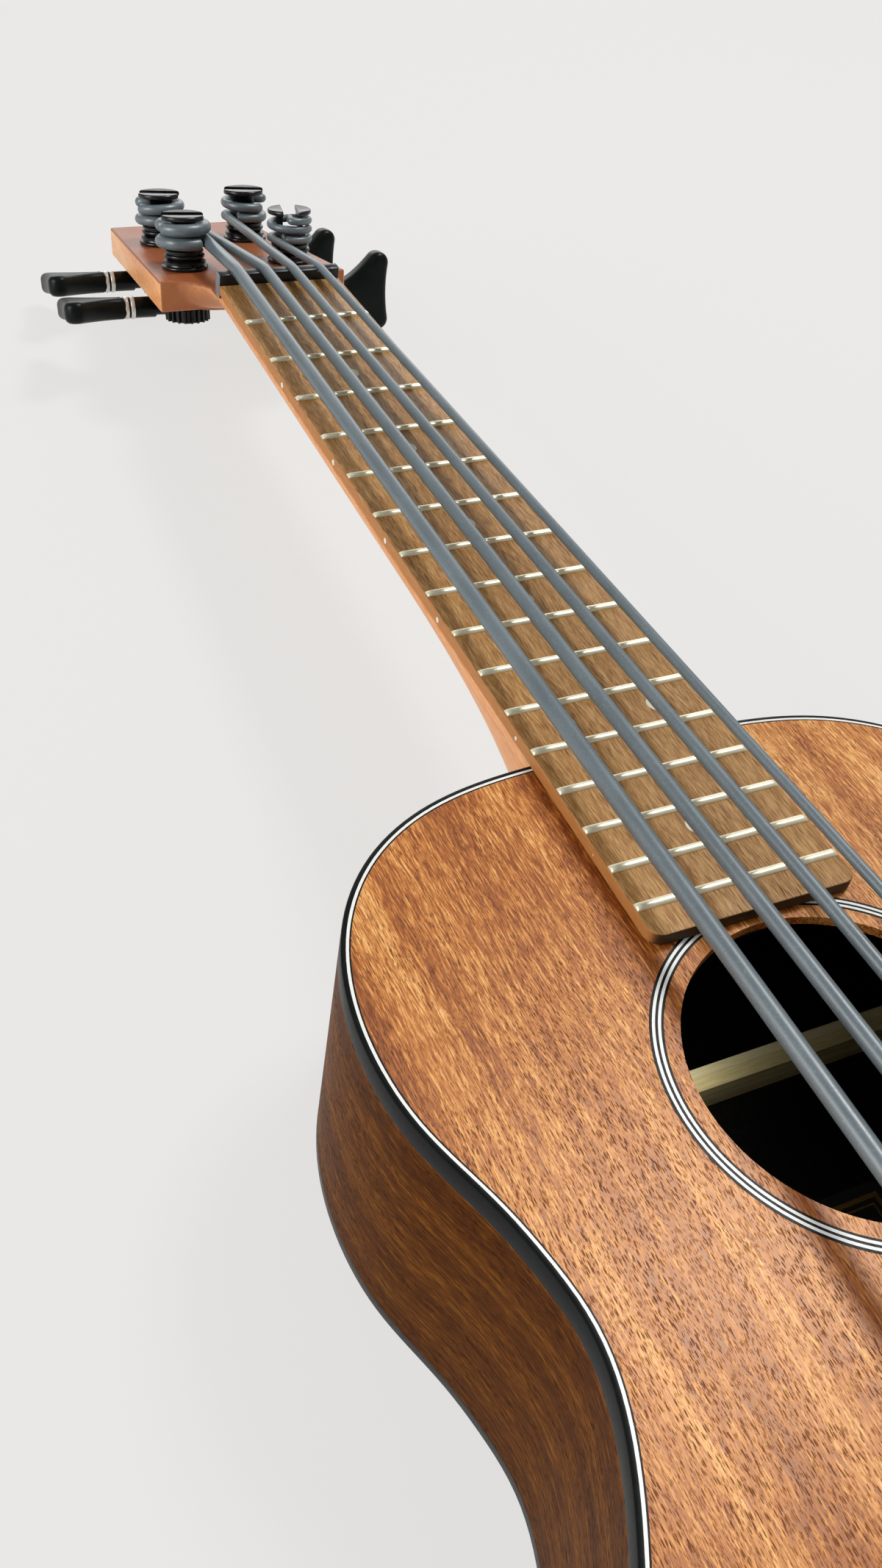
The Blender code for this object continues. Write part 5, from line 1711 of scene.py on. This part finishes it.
@dataclass
class StringSet:
    """The four strings, each from the bridge to its first turn round its post."""

    bench: Workbench
    hole_setback: float = 0.0125
    bridge_top: float = LAYOUT.top_plane + LAYOUT.seat + 0.0098
    tail: float = 0.0079
    first_turn: float = 304.0
    wound_turn: float = 330.0
    turn_steps: int = 60
    step_angle: float = 5.0
    sway: float = 0.00015
    lift: float = 0.0002
    slot_end: float = 0.001
    bends: tuple[float, ...] = (0.0, 0.003, 0.0045, 0.0042, 0.0)

    def build(self) -> None:
        """Make the strings and the turns that go round with the posts."""
        for index in range(len(LAYOUT.string_radii)):
            self._string(index)
            self._winding(index)

    def tangent(self, index: int) -> tuple[float, Vector]:
        """Angle on the post's circle, and the point, where a string first touches it.

        Args:
            index: The string's number, from 0.

        Returns:
            The angle and the point, in the headstock's frame.
        """
        x, y = LAYOUT.post_places()[index]
        nut = Vector((LAYOUT.nut_x(index), LAYOUT.nut_thickness, LAYOUT.nut_action))
        start = LAYOUT.head().inverted() @ nut
        away = Vector((start.x - x, start.y - y))
        radius = SIZES.circle(index)
        angle = atan2(away.y, away.x) + SIZES.wrap(index) * acos(radius / away.length)
        dx, dy = polar(radius, angle)
        return angle, Vector((x + dx, y + dy, SIZES.first_level(index)))

    def _string(self, index: int) -> None:
        """One string over saddle and nut to its post.

        Args:
            index: The string's number, from 0.
        """
        radius, x = LAYOUT.string_radii[index], LAYOUT.saddle_x(index)
        hole = -LAYOUT.scale_length - self.hole_setback
        angle, touch = self.tangent(index)
        head = LAYOUT.head()
        corners = [(x, hole, LAYOUT.top_plane - self.tail),
                   (x, hole + 0.0004, self.bridge_top + 0.4 * radius),
                   (x, -LAYOUT.scale_length, LAYOUT.saddle_action + radius + 0.0004),
                   (LAYOUT.nut_x(index), 0.55 * LAYOUT.nut_thickness,
                    LAYOUT.nut_action + radius + 0.0002),
                   head @ touch]
        path = softened(corners, self.bends)
        px, py = LAYOUT.post_places()[index]
        for i in range(1, self.turn_steps + 1):
            part = i / self.turn_steps
            turn = angle + SIZES.wrap(index) * radians(self.first_turn) * part
            dx, dy = polar(SIZES.circle(index) + self.sway * sin(5.0 * turn), turn)
            path.append(head @ Vector((px + dx, py + dy,
                                       touch.z + self.lift * sin(2.0 * turn))))
        mesh = tube(path, radius, INSTRUMENT)
        self.bench.place(f"rubber_string_{index + 1}", mesh, STRING_RUBBER, "rubber_string",
                         [f"string_{index + 1}"], sharp=60.0)

    def _winding(self, index: int) -> None:
        """The turns that move with the post and end in its slot.

        Args:
            index: The string's number, from 0.
        """
        radius, circle = LAYOUT.string_radii[index], SIZES.circle(index)
        x, y = LAYOUT.post_places()[index]
        low = SIZES.first_level(index) + 2.0 * radius + SIZES.running
        high = SIZES.last_level(index)
        room = (high - low) / (2.0 * radius + SIZES.running)
        sweep = max(radians(self.wound_turn), 2.0 * pi * room)
        slot = radians(SIZES.slot_angles[index])
        start = slot - SIZES.wrap(index) * sweep
        steps = int(degrees(sweep) / self.step_angle)
        path = []
        for i in range(steps + 1):
            turn = start + SIZES.wrap(index) * sweep * i / steps
            path.append(Vector((*polar(circle, turn), low + (high - low) * i / steps)))
        end = Vector((*polar(self.slot_end, slot), high))
        corner = Vector((*polar(circle, slot), high))
        path = path[:-3] + softened([path[-4], corner, end], (0.0, 0.9 * radius, 0.0))[1:]
        mesh = tube(path, radius, HEAD @ Matrix.Translation((x, y, 0.0)))
        self.bench.place(f"wound_turns_{index + 1}", mesh, STRING_RUBBER, "rubber_string",
                         [f"string_winding_{index + 1}"], f"post_{index + 1}", 60.0)


@dataclass
class TuningMachine:
    """One tuning machine: plate, bushing, post with worm wheel, and key with worm."""

    bench: Workbench
    index: int
    shaft: float = 0.0022
    neck: float = 0.0033
    barrel: float = 0.0041
    reach: float = 0.0492
    hub_start: float = 0.0236
    half_width: float = 0.0164
    lobe: float = 0.0045
    thickness: float = 0.0085
    step: float = 0.0003
    hollow: float = 0.0010
    flank: float = radians(45.0)
    edge: float = 0.0026
    bass_turn: float = radians(10.0)
    treble_turn: float = radians(90.0)
    washers: tuple[float, ...] = (0.0206, 0.0231)
    washer_half: float = 0.0008
    washer_rise: float = 0.0004
    washer_ease: tuple[float, float] = (0.0002, 0.0003)
    stem: float = 0.0036
    worm_rings: int = 30
    worm_sides: int = 24

    def build(self) -> None:
        """Make the machine's pieces."""
        self.bench.dress(f"tuner_plate_{self.index + 1}", BLACK_METAL, 0.0004)
        self._bushing()
        self._post()
        self._key()

    @property
    def side(self) -> Side:
        """The side of the headstock that the machine is on."""
        return Side.BASS if LAYOUT.post_places()[self.index][0] < 0.0 else Side.TREBLE

    def _bushing(self) -> None:
        """The ribbed collar in the headstock's face."""
        inner, rim, top = SIZES.shaft + SIZES.running, SIZES.bushing, SIZES.bushing_height
        profile = [(SIZES.bushing_barrel, -SIZES.bushing_depth),
                   (SIZES.bushing_barrel, LAYOUT.seat),
                   *ribbed(rim, LAYOUT.seat, BUSHING_RIBS), *ribbed(rim, top, BUSHING_CREST),
                   (inner, top), (inner, -SIZES.bushing_depth)]
        mesh = turned(profile, SIZES.machine(self.index), 56, looped=True)
        name = f"tuner_bushing_{self.index + 1}"
        self.bench.place(f"post_collar_{self.index + 1}", mesh, BLACK_METAL, "black_metal",
                         [name], sharp=50.0)

    def _gear(self, move: Matrix) -> Mesh:
        """The toothed wheel that the worm turns.

        Args:
            move: Where the shape goes.

        Returns:
            The mesh.
        """
        step = FULL_TURN / SIZES.gear_teeth
        ring = []
        for tooth in range(SIZES.gear_teeth):
            centre = 0.5 * pi + tooth * step
            for radius, offset in ((SIZES.gear_root, -0.26), (SIZES.gear_tip - 0.0003, -0.14),
                                   (SIZES.gear_tip, -0.08), (SIZES.gear_tip, 0.08),
                                   (SIZES.gear_tip - 0.0003, 0.14), (SIZES.gear_root, 0.26)):
                ring.append(polar(radius, centre + offset * step))
        half = 0.5 * SIZES.gear_thickness
        return slab(ring, SIZES.worm_level - half, SIZES.worm_level + half, move)

    def _post(self) -> None:
        """The slotted string post, which turns with its wheel."""
        place = SIZES.machine(self.index)
        wheel_low = SIZES.worm_level - 0.5 * SIZES.gear_thickness
        collar, collar_top = SIZES.bushing_height + SIZES.running, SIZES.collar_top
        low, top, waist = SIZES.flange_bottom, SIZES.post_height, SIZES.waist
        profile = [*ribbed(self.stem, wheel_low, STEM_FOOT), (self.stem, SIZES.worm_level),
                   (SIZES.shaft, SIZES.worm_level + 0.002), (SIZES.shaft, collar),
                   *ribbed(SIZES.collar, collar, COLLAR_RIBS), (waist + 0.0006, collar_top),
                   (waist, collar_top + 0.0006), (waist, low - 0.0008), (waist + 0.0008, low),
                   *ribbed(SIZES.flange, low, FLANGE_UNDERSIDE),
                   *ribbed(SIZES.flange, top, FLANGE_CREST), (0.0010, top)]
        body = turned(profile, place, 64)
        half = max(LAYOUT.string_radii) + 2.0 * LAYOUT.seat
        x, y = LAYOUT.post_places()[self.index]
        turn = Matrix.Rotation(radians(SIZES.slot_angles[self.index]), 4, "Z")
        slot = box((-0.02, -half, top - SIZES.slot_depth), (0.02, half, top + 0.01),
                   HEAD @ Matrix.Translation((x, y, 0.0)) @ turn)
        mesh = gathered([combined(body, slot, "DIFFERENCE"), self._gear(place)])
        number = self.index + 1
        self.bench.place(f"slotted_post_{number}", mesh, BLACK_METAL, "black_metal",
                         [f"tuner_post_{number}"], f"post_{number}", 45.0)

    def _worm(self, move: Matrix) -> Mesh:
        """Shaft, worm thread and barrel along +X.

        Args:
            move: Where the shape goes.

        Returns:
            The mesh.
        """
        lug = SIZES.worm_half + SIZES.running + SIZES.lug_thickness
        clear = SIZES.plate_half + SIZES.running
        pitch_radius = SIZES.worm_distance - 0.5 * (SIZES.worm + SIZES.worm_core)
        pitch = FULL_TURN * pitch_radius / SIZES.gear_teeth
        stations = [(-lug - 0.0012, 0.8 * self.shaft, 0.0), (-lug - 0.0009, self.shaft, 0.0),
                    (-SIZES.worm_half, self.shaft, 0.0)]
        for i in range(1, self.worm_rings):
            stations.append((SIZES.worm_half * (2.0 * i / self.worm_rings - 1.0),
                             SIZES.worm_core, SIZES.worm - SIZES.worm_core))
        barrel = self.barrel
        stations += [(SIZES.worm_half, self.shaft, 0.0), (lug + 0.0003, self.shaft, 0.0),
                     (lug + 0.0003, self.neck, 0.0), (clear, self.neck, 0.0),
                     (clear, barrel - 0.0006, 0.0), (clear + 0.0006, barrel, 0.0),
                     (self.hub_start + 0.0015, barrel, 0.0)]
        rings = []
        for x, radius, thread in stations:
            ring = []
            for j, angle in enumerate(round_angles(self.worm_sides)):
                phase = abs((x / pitch - j / self.worm_sides + 0.5) % 1.0 - 0.5)
                share = max(0.0, min(1.0, (0.25 - phase) / 0.10))
                ring.append((x, *polar(radius + thread * share, angle)))
            rings.append(ring)
        return loft(rings, move)

    def _button_outline(self) -> list[tuple[float, float]]:
        """The button's outline: hollow flanks, two round lobes and a slightly hollow outer edge.

        Returns:
            The outline's (x, y) points.
        """
        lobe = Vector((self.reach - self.lobe, self.half_width - self.lobe))
        first, last = radians(90.0) + self.flank, -asin(self.hollow / self.lobe)
        start = Vector((self.hub_start, self.barrel + self.step))
        end = lobe + self.lobe * Vector(polar(1.0, first))
        bend = Vector((end.x - (end.y - start.y) / tan(self.flank), start.y))
        half = []
        for i in range(16):
            t = i / 16.0
            half.append((1.0 - t) ** 2 * start + 2.0 * t * (1.0 - t) * bend + t ** 2 * end)
        for i in range(17):
            angle = first + (last - first) * i / 16.0
            half.append(lobe + self.lobe * Vector(polar(1.0, angle)))
        edge = half[-1]
        for i in range(1, 7):
            part = 1.0 - i / 6.0
            sag = (self.reach - self.hollow - edge.x) * (1.0 - part ** 2)
            half.append(Vector((edge.x + sag, edge.y * part)))
        points = [(point.x, point.y) for point in half]
        return points + [(a, -b) for a, b in reversed(points[:-1])]

    def _key(self) -> None:
        """The button with its shaft and worm, and the two bright washers on the barrel."""
        bass = self.side is Side.BASS
        place = SIZES.machine(self.index) @ Matrix.Translation((0.0, SIZES.worm_distance,
                                                                SIZES.worm_level))
        if bass:
            place = place @ Matrix.Rotation(pi, 4, "Y")
        turn = self.bass_turn if bass else self.treble_turn
        stand = Matrix.Rotation(turn, 4, "X")
        button = slab(self._button_outline(), -0.5 * self.thickness, 0.5 * self.thickness,
                      place @ stand, self.edge, 3)
        number = self.index + 1
        mesh = gathered([self._worm(place), button])
        self.bench.place(f"key_button_{number}", mesh, BLACK_KEY, "black_metal",
                         [f"tuner_key_{number}"], f"key_{number}", 50.0)
        lay = Matrix.Rotation(radians(90.0), 4, "Y")
        for count, x in enumerate(self.washers):
            move = place @ Matrix.Translation((x, 0.0, 0.0)) @ lay
            rim, half = self.barrel + self.washer_rise, self.washer_half
            fall, soft = self.washer_ease
            mesh = turned([(self.barrel - fall, -half), (rim - fall, -half), (rim, soft - half),
                           (rim, half - soft), (rim - fall, half), (self.barrel - fall, half)],
                          move, looped=True)
            self.bench.place(f"key_washer_{number}_{count}", mesh, BRIGHT_METAL, "fret_metal",
                             body=f"key_{number}", sharp=50.0)


# Studio

# Each lamp's name, place, target, width and height, and power in watts.
LAMPS = (
    ("overhead_light", (0.80, 0.62, 1.6), (0.0, 0.1, 0.05), (0.45, 0.45), 19.0),
    ("side_light", (-1.7, 0.35, 0.8), (0.0, 0.32, 0.05), (0.9, 0.9), 23.0),
    ("back_light", (0.8, 2.8, 0.60), (0.0, 0.5, 0.05), (2.4, 0.9), 20.0),
    ("inner_light", (-0.004, 0.108, 0.030), (0.0, 0.114, 0.0142), (0.006, 0.006), 0.0021))


@dataclass
class Studio:
    """Pale floor, soft lights and the camera."""

    background: Colour = tone("e8e7e5")
    focal: float = 1912.825
    image_height: float = 2133.0
    sensor: float = 36.0
    world_level: float = 0.32
    floor_reach: float = 40.0
    floor_top: float = -0.0002
    floor_bottom: float = -0.012
    camera_place: tuple[float, float, float] = (-0.18922, -0.48275, 0.23863)
    camera_across: tuple[float, float, float] = (0.9004, -0.4149, 0.13093)
    camera_down: tuple[float, float, float] = (-0.20424, -0.66881, -0.71483)
    camera_ahead: tuple[float, float, float] = (0.38415, 0.61689, -0.68693)
    nearest: float = 0.01

    def build(self, bench: Workbench) -> None:
        """Set up everything that isn't the object.

        Args:
            bench: The workbench that makes the materials.
        """
        self._floor(bench)
        self._world()
        for lamp in LAMPS:
            self._lamp(*lamp)
        self._camera()
        bpy.context.scene.view_settings.view_transform = "Standard"

    def _floor(self, bench: Workbench) -> None:
        """A wide pale floor just under the instrument.

        Args:
            bench: The workbench that makes the material.
        """
        reach = self.floor_reach
        mesh = box((-reach, -reach, self.floor_bottom), (reach, reach, self.floor_top),
                   Matrix.Identity(4))
        floor = linked("studio_floor", mesh)
        mesh.materials.append(bench.material(FloorFinish("pale_floor", self.background)))

    def _world(self) -> None:
        """White surroundings that show the background's colour to the camera."""
        world = bpy.data.worlds.new("studio_world")
        bpy.context.scene.world = world
        world.use_nodes = True
        nodes, links = world.node_tree.nodes, world.node_tree.links
        lit = nodes["Background"]
        lit.inputs["Color"].default_value = (1.0, 1.0, 1.0, 1.0)
        lit.inputs["Strength"].default_value = self.world_level
        seen = nodes.new("ShaderNodeBackground")
        seen.inputs["Color"].default_value = self.background
        ray, blend = nodes.new("ShaderNodeLightPath"), nodes.new("ShaderNodeMixShader")
        links.new(ray.outputs["Is Camera Ray"], blend.inputs[0])
        links.new(lit.outputs[0], blend.inputs[1])
        links.new(seen.outputs[0], blend.inputs[2])
        links.new(blend.outputs[0], nodes["World Output"].inputs[0])

    @staticmethod
    def _lamp(name: str, place: Point, target: Point, size: tuple[float, float],
              power: float) -> None:
        """Add one soft area light.

        Args:
            name: The lamp's name.
            place: Where it hangs.
            target: What it points at.
            size: Its width and height.
            power: Its power in watts.
        """
        lamp = bpy.data.lights.new(name, "AREA")
        lamp.shape = "RECTANGLE"
        lamp.size, lamp.size_y = size
        lamp.energy = power
        holder = linked(name, lamp)
        holder.location = place
        aim = Vector(target) - Vector(place)
        holder.rotation_euler = aim.to_track_quat("-Z", "Y").to_euler()

    def _camera(self) -> None:
        """The camera, at the photograph's place in the instrument's frame."""
        axes = Vector(self.camera_across), -Vector(self.camera_down), -Vector(self.camera_ahead)
        turn = Matrix(axes).transposed().to_4x4()
        spot = Matrix.Translation(self.camera_place)
        lens = bpy.data.cameras.new("camera")
        lens.sensor_fit = "AUTO"
        lens.sensor_width = self.sensor
        lens.lens = self.focal / self.image_height * self.sensor
        lens.clip_start = self.nearest
        holder = linked("camera", lens)
        holder.matrix_world = INSTRUMENT @ spot @ turn
        bpy.context.scene.camera = holder


def main() -> None:
    """Build the instrument piece by piece, then the studio round it."""
    logging.basicConfig(level=logging.INFO, format="%(name)s: %(message)s")
    bench = Workbench()
    BodyShell(bench).build()
    SoundholeTrim(bench).build()
    InnerFrame(bench).build()
    Bridge(bench).build()
    Neck(bench).build()
    Fingerboard(bench).build()
    bench.dress("nut", NUT_BLACK, 0.0003)
    StringSet(bench).build()
    for index in range(len(LAYOUT.string_radii)):
        TuningMachine(bench, index).build()
    Studio().build(bench)
    plain = sorted(set(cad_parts) - bench.dressed)
    bench.log.info("solids without a finish: %s", plain or "none")


if __name__ == "__main__":
    main()
